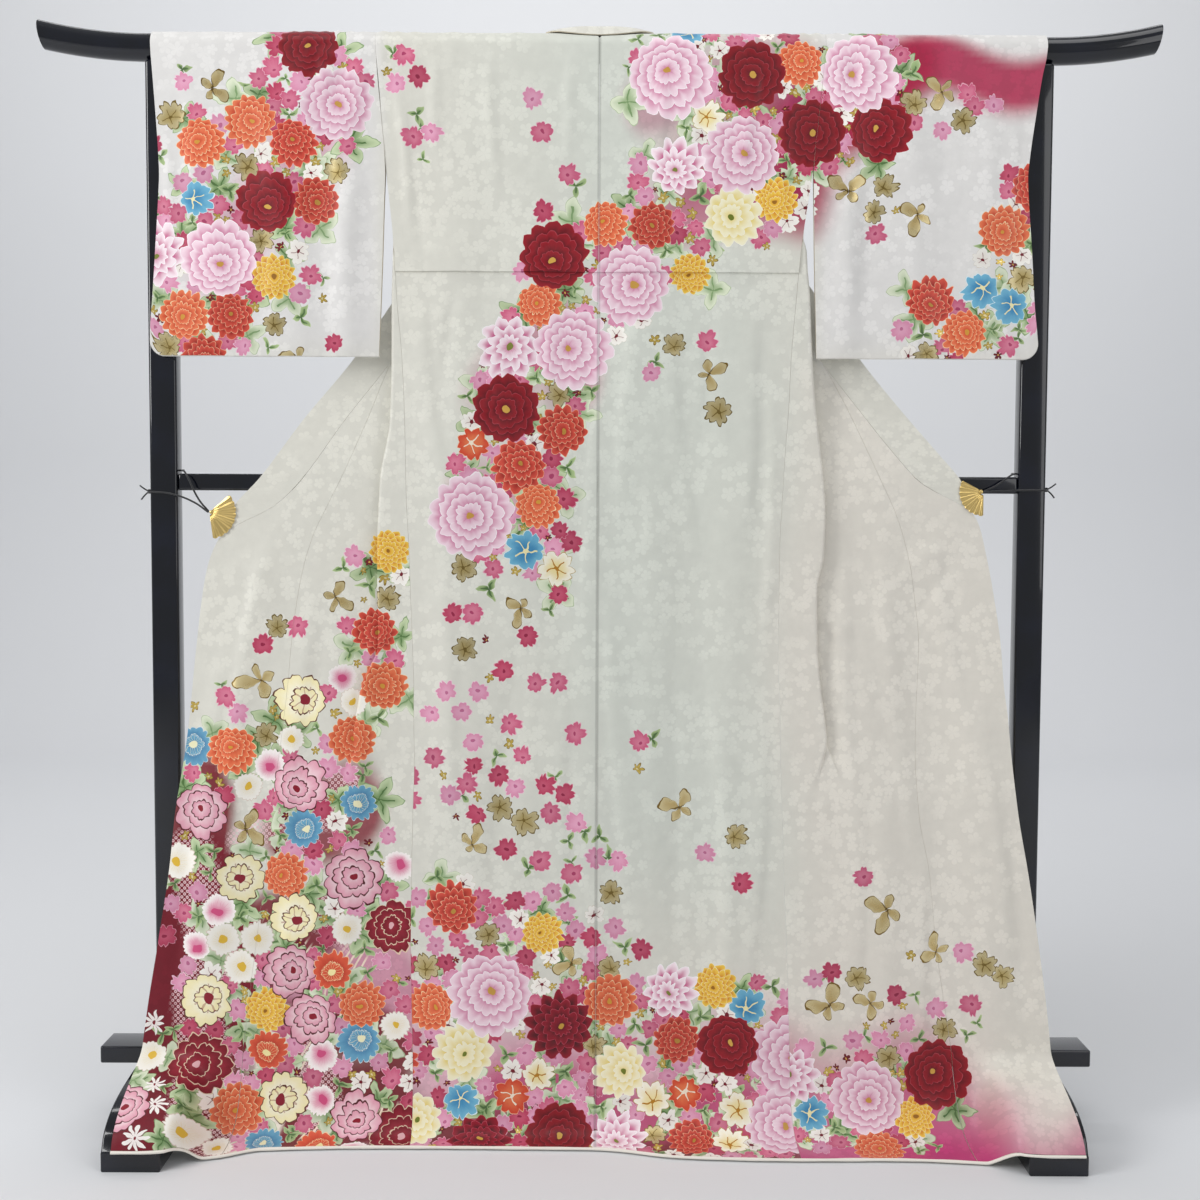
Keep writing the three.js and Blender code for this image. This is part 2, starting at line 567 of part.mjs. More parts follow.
// One row of a front: out from the side seam, back in behind, and out again to the overlap seam. Where the
// pleat has run out, at the shoulder and towards the hem, the same points are spread evenly.
function frontRow(side, row) {
  const value = (column) => along(SECTIONS[side], column, row);
  const depth = (layer) => along(HANG, layer, row);
  const seam = value("overlap") - overlapSeam(row);
  const start = value("side") + GAP / 2;
  const [fold, turn] = [value("fold"), value("turn")];
  const [back, middle, rear] = [depth("back"), depth("middle"), depth("rear")];
  const opened = ease(row, PLEAT.gone, PLEAT.full);
  const stripped = opened * (1 - ease(row, 1300, 1430));
  const turned = opened * (1 - ease(row, 1500, 1600));
  const sideDepth = mix(middle, back, 1 - ease(row, 1300, 1430));
  const reach = Math.min(PLEAT.curve, Math.max(0.5, (fold - start) / 2));
  const inside = turn + PLEAT.curve;

  const lie = (from, to, share) => [mix(from[0], to[0], share), mix(from[1], to[1], share)];
  const evenly = (share) => lie([start, sideDepth], [seam, rear], share);
  const inner = [
    [inside, middle],
    [turn, (middle + rear) / 2],
    [inside, rear],
    [mix(inside, seam, 0.25), rear],
    [mix(inside, seam, 0.5), rear],
    [mix(inside, seam, 0.75), rear],
    [seam, rear],
  ].map((point, k) => lie(evenly((7 + k) / PANEL_COLUMNS), point, turned));
  const [gather] = inner;
  const outer = [
    [start, back],
    [(start + fold) / 2, back],
    [fold - reach, back],
    [fold, (back + middle) / 2],
    [fold - reach, middle],
    [mix(fold - reach, gather[0], 1 / 3), middle],
    [mix(fold - reach, gather[0], 2 / 3), middle],
  ].map((point, k) => lie(lie([start, sideDepth], gather, k / 7), point, stripped));
  return [...inner.reverse(), ...outer.reverse()].map(([across, y]) => hang(SIGN[side] * across, row, y));
}

// Each half of the body is one length of cloth, from the back hem over the shoulder to the front hem.
function bodyGeometry(side) {
  const shoulder = NECK.map(({ round, half }) =>
    Array.from({ length: PANEL_COLUMNS + 1 }, (_, j) => {
      const edge = along(SECTIONS[side], "side", BAR.height) - GAP / 2;
      return roundBar(SIGN[side] * mix(half, edge, j / PANEL_COLUMNS), round);
    }),
  );
  const back = BACK_ROWS.map((row) => backRow(side, row));
  const front = [...FRONT_ROWS].reverse().map((row) => frontRow(side, row));
  return wall([...back, ...shoulder, ...front], CLOTH);
}

// The overlap panel widens the front from its seam out to the free edge.
function overlapRow(side, row) {
  const inner = along(SECTIONS[side], "overlap", row) + overlapSeam(row);
  const outer = along(SECTIONS[side], "outer", row) - GAP;
  const depth = along(HANG, "rear", row);
  return OVERLAP.shares.map((share) => hang(SIGN[side] * mix(inner, outer, share), row, depth));
}

function overlapGeometry(side) {
  const rows = FRONT_ROWS.filter((row) => row <= OVERLAP.top);
  return wall(rows.map((row) => overlapRow(side, row)), CLOTH);
}

// ---------------------------------------------------------------- collar and hem
// One band round the neck and down both fronts, as rows from its seam to its free edge.
function collarGeometry() {
  const columns = [0, 0.25, 0.5, 0.75, 1];
  const neckRow = ({ seam, crown, free }, sign) =>
    columns.map((t) => {
      const value = (k) => seam[k] * (1 - t) ** 2 + 2 * crown[k] * t * (1 - t) + free[k] * t * t;
      return new THREE.Vector3(sign * value(0), value(1), value(2));
    });
  const hangingRow = (side, row) => {
    const [swing, width, lap, clear] = ["swing", "width", "lap", "clear"].map((column) =>
      along(COLLAR_SWING, column, row),
    );
    const seam = along(SECTIONS[side], "outer", row) + clear;
    const reach = row > 1430 ? width : along(SECTIONS[side], "edge", row) - seam;
    const depth = along(HANG, "rear", row) + lap;
    return columns.map((t) => {
      const across = seam + t * reach * Math.cos(radians(swing));
      const point = hang(SIGN[side] * across, row, depth);
      point.y += t * reach * Math.sin(radians(swing));
      return point;
    });
  };
  const half = (side) => [
    ...FRONT_ROWS.filter((row) => row > COLLAR_FOOT[side]).map((row) => hangingRow(side, row)),
    ...[...COLLAR_NECK].reverse().map((station) => neckRow(station, SIGN[side])),
  ];
  const [left, right] = [half("left"), half("right")];
  return wall([...left, ...right.reverse().slice(1)], CLOTH);
}

// The lining rolls out past the silk as a narrow cord along the whole hem.
function hemGeometry() {
  const edges = Object.keys(SIGN).flatMap((side) => [
    backRow(side, 0),
    frontRow(side, 0),
    overlapRow(side, 0),
  ]);
  const places = edges.flat().map((point) => point.x).sort((a, b) => a - b);
  const spaced = places.filter((x, i) => i === 0 || x - places[i - 1] > 2);
  const depth = HANG.at(-1).back;
  const rings = spaced.map((across) => {
    const edge = hang(across, 0, depth);
    const way = edge.clone().sub(hang(across, 5, depth)).setLength(HEM_ROLL.radius + 2 * GAP);
    const middle = edge.add(way);
    return Array.from({ length: HEM_ROLL.sides }, (_, k) => {
      const angle = (2 * Math.PI * (k + 0.5)) / HEM_ROLL.sides;
      const [y, z] = [HEM_ROLL.radius * Math.cos(angle), HEM_ROLL.radius * Math.sin(angle)];
      return new THREE.Vector3(across, middle.y + y, middle.z + z);
    });
  });
  return loft(rings);
}

// ---------------------------------------------------------------- sleeves
// A sleeve is one length of cloth folded over the bar, sewn shut along its foot and its outer edge below
// the mouth.
function sleeveGeometry(side) {
  const table = SLEEVES[side];
  const [top] = table;
  const shares = Array.from({ length: SLEEVE.columns + 1 }, (_, j) => j / SLEEVE.columns);
  const heights = table.map(({ height }) => height).filter((height) => height < BAR.height);
  const rows = [...heights, SLEEVE.foot + SLEEVE_SEAM.blend].sort((a, b) => a - b);

  const layerRow = (row, layer) => {
    const inner = along(table, "inner", row) + GAP / 2;
    const outer = along(table, layer, row);
    return shares.map((share) => {
      const across = mix(inner, outer, share);
      const past = Math.max(0, across - (outer - SLEEVE.corner));
      const rounded = SLEEVE.corner - Math.sqrt(SLEEVE.corner ** 2 - past ** 2);
      const height = row + rounded * (1 - ease(row, SLEEVE.foot, SLEEVE.cornerTop));
      const front = along(SLEEVE_HANG, "front", row);
      const open = ease(row, SLEEVE.foot, SLEEVE.foot + SLEEVE_SEAM.blend);
      const mouth = ease(row, SLEEVE.mouthFoot, SLEEVE.mouthEnd);
      const beside = mix(ease(outer - across, 0, SLEEVE_SEAM.reach), 1, mouth);
      const spread = along(SLEEVE_HANG, "behind", row) - front;
      const apart = CLOTH + GAP + (spread - CLOTH - GAP) * open * beside;
      const y = layer === "front" ? front : front + apart;
      const x = SIGN[side] * across;
      return new THREE.Vector3(x, y - swell(SLEEVE_SWELLS, x, row), height);
    });
  };
  const turns = [-90, -68, -45, -22, 0, 22, 45, 68, 90].map((round) =>
    shares.map((share) => roundBar(SIGN[side] * mix(top.inner + GAP / 2, top.front, share), round)),
  );
  const front = rows.map((row) => layerRow(row, "front"));
  const behind = [...rows].reverse().map((row) => layerRow(row, "behind"));
  return wall([...front, ...turns, ...behind], CLOTH);
}

// ---------------------------------------------------------------- clips and ties
function rearDepth(side, across, height) {
  return hang(SIGN[side] * across, height, along(HANG, "rear", height)).y;
}

// A fan clip is one sheet: a ribbed fan before the cloth, bent round at its rivet into a flat jaw behind.
function clipGeometry(side) {
  const { across, height, from, to, reach } = CLIPS[side];
  const seat = CLOTH / 2 + GAP + CLIP.pinch;
  const before = -seat - CLIP.rib;
  const after = seat + 0.4;
  const profile = [
    { radius: reach, depth: before, rib: CLIP.rib },
    { radius: reach * 0.7, depth: before, rib: CLIP.rib * 0.8 },
    { radius: reach * 0.4, depth: before, rib: CLIP.rib * 0.5 },
    { radius: 7, depth: before, rib: 0.2 },
    { radius: 4.6, depth: 0, rib: 0 },
    { radius: 7, depth: after, rib: 0 },
    { radius: reach * 0.5, depth: after, rib: 0 },
    { radius: reach * 0.8, depth: after, rib: 0 },
  ];
  const folds = 2 * CLIP.ribs;
  const grid = profile.map(({ radius, depth, rib }) =>
    Array.from({ length: folds + 1 }, (_, k) => {
      const angle = radians(mix(from, to, k / folds));
      const x = across - radius * Math.cos(angle);
      const z = height + radius * Math.sin(angle);
      return new THREE.Vector3(SIGN[side] * x, rearDepth(side, x, z) + depth + rib * (k % 2 ? 1 : -1), z);
    }),
  );
  return wall(grid, CLIP.sheet);
}

// A tie runs from the rivet round the post, over the end of the rail, and back, knotted on the post's
// outer face.
function tieGeometry(side) {
  const { across, height, knot: share } = CLIPS[side];
  const depth = rearDepth(side, across, height);
  const knotHeight = mix(height, RAIL.height, share);
  const off = TIE.radius + TIE.clear;
  const [face, outer, inner] = [POST.depth / 2 + off, POST.outer + off, POST.outer - POST.width - off];
  const top = RAIL.height + RAIL.tall / 2 + off;
  const place = (x, y, z) => new THREE.Vector3(SIGN[side] * x, y, z);
  const route = [
    place(across + 1.6, depth - 1.7, height),
    place(across + 24, -face - 3, mix(height, knotHeight, 0.5)),
    place(inner + 9, -face - 0.6, mix(height, knotHeight, 0.9)),
    place(outer - 9, -face, knotHeight),
    place(outer - 1.6, -face + 2.6, knotHeight),
    place(outer, -face + 9, knotHeight),
    place(outer, face - 9, knotHeight + 1),
    place(outer - 1.6, face - 2.6, knotHeight + 2),
    place(outer - 9, face + 0.2, knotHeight + 5),
    place(inner + 9, face + 0.4, top + 1),
    place(inner + 1.2, face - 2, top + 3),
    place(inner - 0.4, face - 9, top + 3),
    place(inner - 3, -6, top + 2),
    place(inner - 10, -face - 1, top),
    place(across + 16, -face - 3, mix(top, height, 0.7)),
    place(across + 1.8, depth + 1.9, height + 1),
  ];
  const knotAt = place(outer + 3.6, 1, knotHeight + 1);
  const knot = new THREE.SphereGeometry(TIE.knot, 8, 6).scale(0.9, 1.1, 1).translate(...knotAt.toArray());
  const tail = (lift, forward) =>
    rod(
      [
        knotAt.clone(),
        knotAt.clone().add(place(7, forward / 2, lift / 2)),
        knotAt.clone().add(place(13, forward, lift)),
      ],
      TIE.radius * 0.8,
      TIE.arcs,
      4,
    );
  return joined([rod(route, TIE.radius, TIE.arcs, TIE.steps), knot, tail(9, -4), tail(-12, 3)]);
}

// ---------------------------------------------------------------- assembly
function garment() {
  const silk = () => material(COLORS.silk, 0.55, 0);
  const group = new THREE.Group();
  for (const side of Object.keys(SIGN)) {
    group.add(part("body_" + side, bodyGeometry(side), silk()));
    group.add(part("overlap_" + side, overlapGeometry(side), silk()));
    group.add(part("sleeve_" + side, sleeveGeometry(side), material(COLORS.sleeve, 0.55, 0)));
  }
  group.add(part("collar", collarGeometry(), silk()));
  group.add(part("hem_roll", hemGeometry(), material(COLORS.lining, 0.6, 0)));
  return group;
}

function fastenings() {
  const group = new THREE.Group();
  for (const side of Object.keys(SIGN)) {
    group.add(part("clip_" + side, clipGeometry(side), material(COLORS.brass, 0.3, 1)));
    group.add(part("tie_" + side, tieGeometry(side), material(COLORS.cord, 0.8, 0)));
  }
  return group;
}

const kimonoOnStand = new THREE.Group();
kimonoOnStand.position.y = STAND_SETBACK;
kimonoOnStand.add(stand(), garment(), fastenings());

export default kimonoOnStand;
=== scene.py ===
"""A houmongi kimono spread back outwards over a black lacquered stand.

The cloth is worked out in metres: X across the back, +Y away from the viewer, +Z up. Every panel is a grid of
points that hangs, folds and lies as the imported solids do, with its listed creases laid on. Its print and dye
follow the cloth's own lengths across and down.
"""

import math
import random

import bpy
import numpy as np
from bpy.props import FloatProperty, FloatVectorProperty, PointerProperty
from mathutils import Matrix, Vector


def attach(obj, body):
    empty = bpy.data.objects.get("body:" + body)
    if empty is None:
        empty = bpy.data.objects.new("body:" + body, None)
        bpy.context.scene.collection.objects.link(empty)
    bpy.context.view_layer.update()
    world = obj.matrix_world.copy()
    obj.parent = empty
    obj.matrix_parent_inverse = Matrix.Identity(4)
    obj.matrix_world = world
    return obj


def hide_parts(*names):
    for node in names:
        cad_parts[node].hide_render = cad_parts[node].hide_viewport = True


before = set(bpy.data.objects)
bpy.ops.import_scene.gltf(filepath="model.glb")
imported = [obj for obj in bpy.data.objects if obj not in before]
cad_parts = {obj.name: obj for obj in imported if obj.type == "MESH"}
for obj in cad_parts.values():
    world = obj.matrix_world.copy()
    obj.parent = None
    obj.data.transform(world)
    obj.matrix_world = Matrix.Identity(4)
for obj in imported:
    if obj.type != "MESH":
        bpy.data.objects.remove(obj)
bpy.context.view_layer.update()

bl_info = {
    "name": "Kimono on a stand",
    "version": (1, 0, 0),
    "blender": (4, 5, 0),
    "location": "View3D > Sidebar > Kimono",
    "description": "Builds a printed silk kimono spread over a lacquered stand",
    "category": "Add Mesh",
}

MM = 0.001
GAP = 0.3 * MM  # clearance at seams and seats
CLOTH_CAD = 2 * MM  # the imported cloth, silk and lining together
SETBACK = 4 * MM  # how far the stand is behind the middle of the whole outline
SIGN = {"left": -1, "right": 1}

# -------------------- stand sizes
BAR_RADIUS = 20 * MM
BAR_HEIGHT = 1605 * MM
BAR_HALF = 824 * MM
BAR_STRAIGHT = 660 * MM
BAR_RISE = 19 * MM
BAR_SLANT = 7 * MM
POST_OUTER, POST_WIDTH, POST_DEPTH, POST_CORNER = 666 * MM, 41 * MM, 30 * MM, 5 * MM
RAIL_HEIGHT, RAIL_SIDE, RAIL_CORNER = 968 * MM, 25 * MM, 4 * MM
BOARD_LOW, BOARD_TALL, BOARD_DEPTH, BOARD_HALF, BOARD_CORNER = (
    92.3 * MM, 26 * MM, 60 * MM, 747 * MM, 3 * MM,
)
FOOT_MIDDLE, FOOT_WIDTH, FOOT_CORNER = 650 * MM, 84 * MM, 3 * MM
# Half of a foot's side outline from toe to middle: distance from the post and height, in mm.
FOOT_OUTLINE = (
    (196, 0), (196, 27), (193, 29), (183, 49), (152, 69), (116, 80), (66, 87.6), (30, 91), (0, 92),
)

# -------------------- how the cloth hangs, in mm
# Height, then the depth of the back panels, of the fronts folded in behind them, and of the fronts drawn out.
HANG = (
    (1605, -21.6, 21.6, 21.8), (1560, -22.8, 21.4, 22), (1500, -24.5, 14, 20), (1430, -26, 8, 15),
    (1300, -28, 2, 10), (1240, -29, -2, 6), (1150, -31, -9, -1), (1060, -34, -19, -11),
    (973, -37, -28, -20), (880, -39.5, -31.5, -23.5), (790, -42, -34.5, -27), (690, -45, -38, -31),
    (590, -48, -42, -36), (490, -51, -48.5, -46), (390, -54, -53, -52), (290, -57, -57, -57),
    (130, -62, -62, -62), (0, -62, -62, -62),
)
# Height, then widths from the centre back: side seam, outer and inner turn of the front's pleat, overlap
# seam, the overlap panel's other edge, and the free edge of collar or front.
SECTIONS = {
    "left": (
        (1605, 327, 327, 84, 84, 84, 140), (1550, 322, 322, 87, 94, 94, 150),
        (1500, 318, 318, 93, 106, 106, 162), (1430, 312, 312, 101, 121, 121, 181),
        (1300, 299, 302, 130, 202, 202, 262), (1240, 296, 304, 152, 242, 242, 304),
        (1150, 288, 304, 184, 306, 306, 365), (1060, 284, 306, 213, 343, 376, 438),
        (973, 282, 320, 245, 381, 438, 502), (935, 281, 322, 257, 400, 476, 537),
        (885, 278, 324, 272, 423, 561, 565), (830, 276, 324, 280, 438, 581, 581),
        (731, 272, 322, 288, 452, 594, 594), (670, 270, 346, 306, 457, 600, 600),
        (626, 270, 354, 326, 462, 604, 604), (560, 269, 362, 352, 470, 612, 612),
        (480, 271, 364, 362, 480, 624, 624), (393, 273, 366, 365, 488, 633, 633),
        (287, 274, 370, 369, 502, 649, 649), (173, 272, 374, 373, 516, 667, 667),
        (80, 270, 378, 377, 527, 677, 677), (0, 269, 380, 379, 534, 675, 675),
    ),
    "right": (
        (1605, 330, 330, 84, 84, 84, 140), (1550, 325, 325, 87, 94, 94, 152),
        (1500, 320, 320, 95, 108, 108, 168), (1430, 313, 313, 108, 136, 136, 198),
        (1300, 295, 306, 146, 226, 226, 288), (1240, 290, 311, 174, 268, 268, 330),
        (1150, 283, 315, 213, 332, 332, 392), (1080, 280, 320, 240, 370, 386, 448),
        (1010, 275, 328, 266, 403, 442, 508), (973, 273, 332, 279, 420, 476, 539),
        (920, 270, 335, 297, 444, 561, 565), (860, 268, 333, 305, 462, 578, 578),
        (815, 268, 324, 301, 470, 587, 587), (731, 267, 325, 306, 479, 600, 600),
        (670, 269, 330, 313, 477, 605, 605), (626, 271, 336, 325, 475, 611, 611),
        (560, 272, 344, 338, 474, 617, 617), (480, 275, 350, 348, 479, 626, 626),
        (393, 278, 358, 357, 495, 641, 641), (287, 283, 364, 363, 506, 657, 657),
        (173, 287, 372, 371, 523, 672, 672), (80, 290, 380, 379, 537, 681, 681),
        (0, 295, 386, 385, 545, 685, 685),
    ),
}
# Signed width, then how far forward the hem reaches along the floor or over the foot.
HEM = (
    (-690, -201), (-640, -201), (-604, -197), (-575, -164), (-534, -150), (-480, -126), (-290, -117),
    (0, -120), (130, -147), (290, -154), (420, -152), (560, -163), (604, -197), (640, -201), (690, -201),
)
HEM_TOP = 130 * MM  # where the cloth starts to bend forward
OVER_FOOT = (556 * MM, 598 * MM)  # widths between which the hem climbs on to the foot
FLOOR_DRAPE = {"belly": (-66, 40), "knee": (-80, 4.4), "edge": 4.4}
FOOT_DRAPE = {"belly": (-60, 97), "knee": (-185, 86), "edge": 33}
# Edge of the neck opening round the bar: degrees past its top, and half width in mm.
NECK = (
    (-90, 0.15), (-71, 0.15), (-52, 0.15), (-40, 38), (-22, 62), (0, 75), (23, 79), (46, 81), (68, 82.5),
    (90, 84),
)
# Half of the collar round the neck, from the centre back outwards: seam, crown and free edge, in mm.
COLLAR_NECK = (
    ((0, -17.2, 1621), (0, 0, 1656), (0, 27, 1617)),
    ((22, -16.6, 1622.4), (21, 1, 1657), (17, 27.5, 1614)),
    ((42, -14, 1625), (38, 4, 1655), (30, 28, 1608)),
    ((62, -8, 1628.6), (53, 12, 1650), (36, 28, 1600)),
    ((78, 3, 1630.2), (64, 21, 1640), (38, 27.5, 1592)),
    ((84, 17.8, 1622.8), (66, 28, 1622), (38, 27.5, 1583)),
    ((85, 24.6, 1611), (66, 31, 1610), (37, 27.5, 1576)),
    ((86, 25.6, 1601), (66, 30, 1598), (36, 28, 1570)),
)
# Height in mm, then the collar's swing in degrees, and its width, lap and clearance in mm.
COLLAR_SWING = (
    (1605, 180, 50, 3, 1.5), (1590, 176, 51, 3, 1.8), (1550, 136, 52, 3, 2), (1500, 82, 54, 1.4, 2),
    (1465, 34, 57, 0.4, 1.6), (1430, 0, 60, 0, 0.5), (885, 0, 60, 0, 0.5),
)
COLLAR_FOOT = {"left": 885 * MM, "right": 920 * MM}
COLLAR_LIFT = 8 * MM  # the band's first row lies this far above its foot
COLLAR_LAID = (86 * MM, 136 * MM)  # where its two edges are laid out round the neck
COLLAR_FLAT = 1430 * MM  # below this the collar lies in line with the front
COLLAR_ASIDE = -2.0  # the collar's cloth is laid out this far from the panels, clear of the print
# Height, then the sleeve's inner edge and the outer edges of its layers before and behind the bar.
SLEEVES = {
    "left": (
        (1605, 327, 655, 655), (1588, 325.5, 654, 650), (1565, 324, 652, 613), (1500, 318, 647, 611),
        (1440, 313, 643, 612), (1415, 312, 642, 634), (1392, 313, 643, 643), (1300, 316, 649, 649),
        (1200, 320, 656, 656), (1153, 322, 658, 658),
    ),
    "right": (
        (1605, 330, 653, 653), (1588, 328.5, 651, 648), (1565, 326.5, 646, 612), (1500, 320, 636, 610),
        (1440, 314, 628, 610), (1415, 313, 626, 622), (1392, 313.5, 627, 627), (1300, 315.5, 634, 634),
        (1200, 318.5, 641, 641), (1153, 320, 645, 645),
    ),
}
# Height, then the depth of the sleeve's layers before and behind the bar.
SLEEVE_HANG = (
    (1605, -21.6, 21.6), (1565, -23, 21.4), (1540, -24, 17), (1500, -25, 8), (1440, -27, -13),
    (1415, -28, -20), (1392, -28.5, -21), (1300, -30, -22), (1200, -30, -23), (1153, -29, -26.3),
)
SLEEVE_FOOT, SLEEVE_CORNER, SLEEVE_CORNER_TOP = 1153 * MM, 22 * MM, 1250 * MM
SLEEVE_SEAM_RISE, SLEEVE_SEAM_REACH = 30 * MM, 60 * MM
SLEEVE_MOUTH = (1400 * MM, 1440 * MM)
TUCK_TOP, TUCK_HEIGHT, TUCK_DEPTH = 1365 * MM, 1277 * MM, 2.4 * MM
PLEAT_CURVE, PLEAT_GONE, PLEAT_FULL = 3.5 * MM, 470 * MM, 600 * MM
COLLAR_LOW = 1300 * MM
BODY_TOP, SLEEVE_TOP, COLLAR_TOP = 1596 * MM, 1597 * MM, 1590 * MM  # the last rows below the bar
OVERLAP_TOP = 1147 * MM

# Soft vertical swells that the hanging layers share: top, foot, width across at each, breadth and depth.
SWELLS = (
    (1250, 0, 130, 170, 96, -9), (1240, 10, -190, -200, 70, 6), (1000, 0, 470, 540, 90, -9),
    (980, 0, -470, -520, 80, 7),
    (1560, 120, -212, -186, 38, 5), (1500, 60, -92, -118, 44, 6), (1240, 30, -22, -8, 30, 4),
    (1560, 300, 74, 96, 40, 5), (1400, 40, 186, 205, 36, 6), (900, 20, -372, -398, 40, 7),
    (760, 20, -540, -592, 34, 6), (860, 30, 392, 440, 42, 7), (700, 20, 552, 604, 36, 6),
)
SLEEVE_SWELLS = (
    (1560, 1100, -372, -366, 20, 6), (1585, 1100, -468, -440, 34, 5), (1540, 1100, -566, -580, 34, 4),
    (1560, 1100, 366, 360, 20, 6), (1585, 1100, 452, 470, 34, 5), (1540, 1100, 560, 570, 30, 4),
)
# Creases laid one by one on the hanging layers: from, to, breadth and how far they stand forward.
CREASES = (
    (-300, 1560, -268, 1330, 10, 3.9), (-286, 1540, -252, 1290, 7, -2.4), (-244, 1590, -236, 1440, 8, 3.3),
    (-160, 1585, -150, 1390, 9, 2.7), (-40, 1590, -52, 1430, 8, 2.4), (96, 1588, 88, 1430, 9, 3),
    (150, 1590, 142, 1360, 8, -2.1), (228, 1590, 214, 1400, 9, 3.6), (282, 1580, 262, 1340, 8, 3),
    (-262, 1240, -226, 930, 16, 3.9), (-206, 1262, -232, 1120, 9, -2.2), (-150, 1230, -118, 800, 20, 3.6),
    (-70, 1240, -84, 1010, 12, 2.7), (-14, 1230, -26, 760, 10, -2.5), (48, 1236, 36, 900, 14, 3.3),
    (104, 1180, 148, 830, 12, 2.7), (168, 1240, 152, 1040, 9, -2.2), (234, 1240, 212, 860, 14, 3.9),
    (258, 1120, 246, 700, 10, 3.3), (-236, 900, -204, 420, 18, 4.2), (-120, 780, -150, 300, 22, -3.6),
    (-56, 700, -40, 220, 18, 3.9), (22, 820, 44, 330, 16, 3.6), (122, 760, 108, 240, 20, -3.3),
    (176, 690, 196, 180, 15, 3.9), (244, 640, 232, 160, 13, 3.3), (-330, 860, -352, 430, 12, 3.9),
    (-420, 840, -468, 300, 18, 4.8), (-486, 900, -560, 470, 14, 4.2), (-548, 720, -600, 240, 14, 3.6),
    (-590, 560, -640, 150, 12, -3), (-376, 640, -392, 160, 16, -3.6), (-446, 460, -474, 60, 16, 3.9),
    (360, 880, 384, 470, 13, 4.2), (420, 930, 470, 380, 18, 5.1), (500, 900, 566, 500, 14, 4.2),
    (560, 700, 612, 250, 14, 3.9), (600, 520, 648, 140, 12, -3), (396, 600, 410, 120, 16, -3.6),
    (478, 430, 496, 60, 16, 3.9), (520, 890, 440, 820, 9, 3.3), (540, 860, 470, 770, 8, -2.7),
    (330, 780, 372, 742, 8, 3.3), (352, 760, 336, 700, 7, -2.4), (-530, 850, -462, 790, 9, 3.3),
    (-300, 760, -338, 700, 8, 2.7), (60, 905, 96, 872, 8, 2.4), (196, 846, 262, 800, 9, 2.7),
    (-186, 548, -110, 512, 11, -2.1), (300, 520, 352, 470, 11, 2.4), (-108, 1290, -30, 1286, 7, 2),
    (36, 1292, 142, 1284, 7, 2.1), (158, 1262, 250, 1256, 8, -1.8), (-230, 1266, -120, 1258, 8, -1.8),
)
SLEEVE_CREASES = (
    (-350, 1596, -356, 1480, 7, 3.2), (-372, 1598, -384, 1500, 6, -2.7), (-396, 1598, -402, 1520, 7, 3),
    (-430, 1598, -436, 1490, 8, 1.9), (-498, 1590, -482, 1380, 12, 2.4), (-540, 1570, -522, 1330, 10, -2.2),
    (-604, 1560, -592, 1360, 9, 2.4), (-632, 1480, -618, 1260, 8, 1.9), (-360, 1440, -378, 1200, 12, 3.2),
    (-414, 1420, -400, 1190, 12, -2.4), (-470, 1340, -488, 1180, 13, 2.4), (-560, 1330, -546, 1185, 12, 2.2),
    (-500, 1260, -420, 1226, 10, 1.6), (348, 1598, 352, 1500, 7, 3.2), (368, 1598, 378, 1510, 6, -2.7),
    (392, 1598, 396, 1530, 7, 2.4), (440, 1590, 452, 1400, 12, 2.2), (512, 1580, 500, 1370, 10, -2),
    (560, 1570, 572, 1350, 10, 2.2), (606, 1520, 598, 1260, 8, 2.2), (356, 1440, 372, 1200, 12, 3.2),
    (404, 1400, 392, 1190, 11, -2.4), (460, 1350, 476, 1180, 13, 2.4), (540, 1330, 552, 1185, 12, 2),
    (420, 1250, 500, 1220, 10, 1.6), (588, 1330, 560, 1240, 10, 1.9),
)
# Small gathers over the bar where sleeve and body meet: width across, breadth, depth and run down the cloth.
GATHERS = (
    (-446, 6, 1.6, 34), (-425, 7, 2.4, 60), (-404, 6, 2, 80), (-384, 7, 2.8, 70), (-362, 6, 2.2, 90),
    (-342, 6, 2, 70), (-316, 7, 2.2, 80), (-296, 6, 1.8, 60), (-270, 7, 1.4, 50), (-214, 9, 1.2, 40),
    (-120, 8, 1, 36), (110, 8, 1.2, 40), (204, 8, 1.4, 44), (270, 7, 1.6, 60), (298, 6, 2, 70),
    (318, 6, 2.2, 80), (346, 7, 2.4, 70), (366, 6, 2, 90), (388, 7, 2.2, 60), (412, 7, 1.4, 40),
    (520, 9, 1, 30), (-560, 9, 1, 30),
)


# -------------------- lines, swells and creases
def ease(value, low, high):
    """0 below low, 1 above high, and a smooth step between."""
    t = np.clip((value - low) / (high - low), 0.0, 1.0)
    return t * t * (3 - 2 * t)


def mix(a, b, share):
    return a + (b - a) * share


def through(places, values):
    """A smooth line through the given values, which never overshoots them."""
    order = np.argsort(places)
    xs, ys = np.asarray(places, float)[order], np.asarray(values, float)[order]
    step = np.diff(xs)
    slope = np.diff(ys) / step
    product = slope[1:] * slope[:-1]
    total = np.where(product > 0, slope[1:] + slope[:-1], 1.0)
    ends = np.concatenate([slope[:1], np.where(product > 0, 2 * product / total, 0.0), slope[-1:]])

    def at(x):
        x = np.clip(x, xs[0], xs[-1])
        i = np.clip(np.searchsorted(xs, x, side="right") - 1, 0, len(step) - 1)
        t = (x - xs[i]) / step[i]
        before, after, here = ends[i], ends[i + 1], slope[i]
        bend = 3 * here - 2 * before - after + t * (before + after - 2 * here)
        return ys[i] + step[i] * t * (before + t * bend)

    return at


def lines_of(table):
    """One smooth line for each further column of a table in mm, against its first column, in metres."""
    rows = np.array(table, float) * MM
    return [through(rows[:, 0], rows[:, k]) for k in range(1, rows.shape[1])]


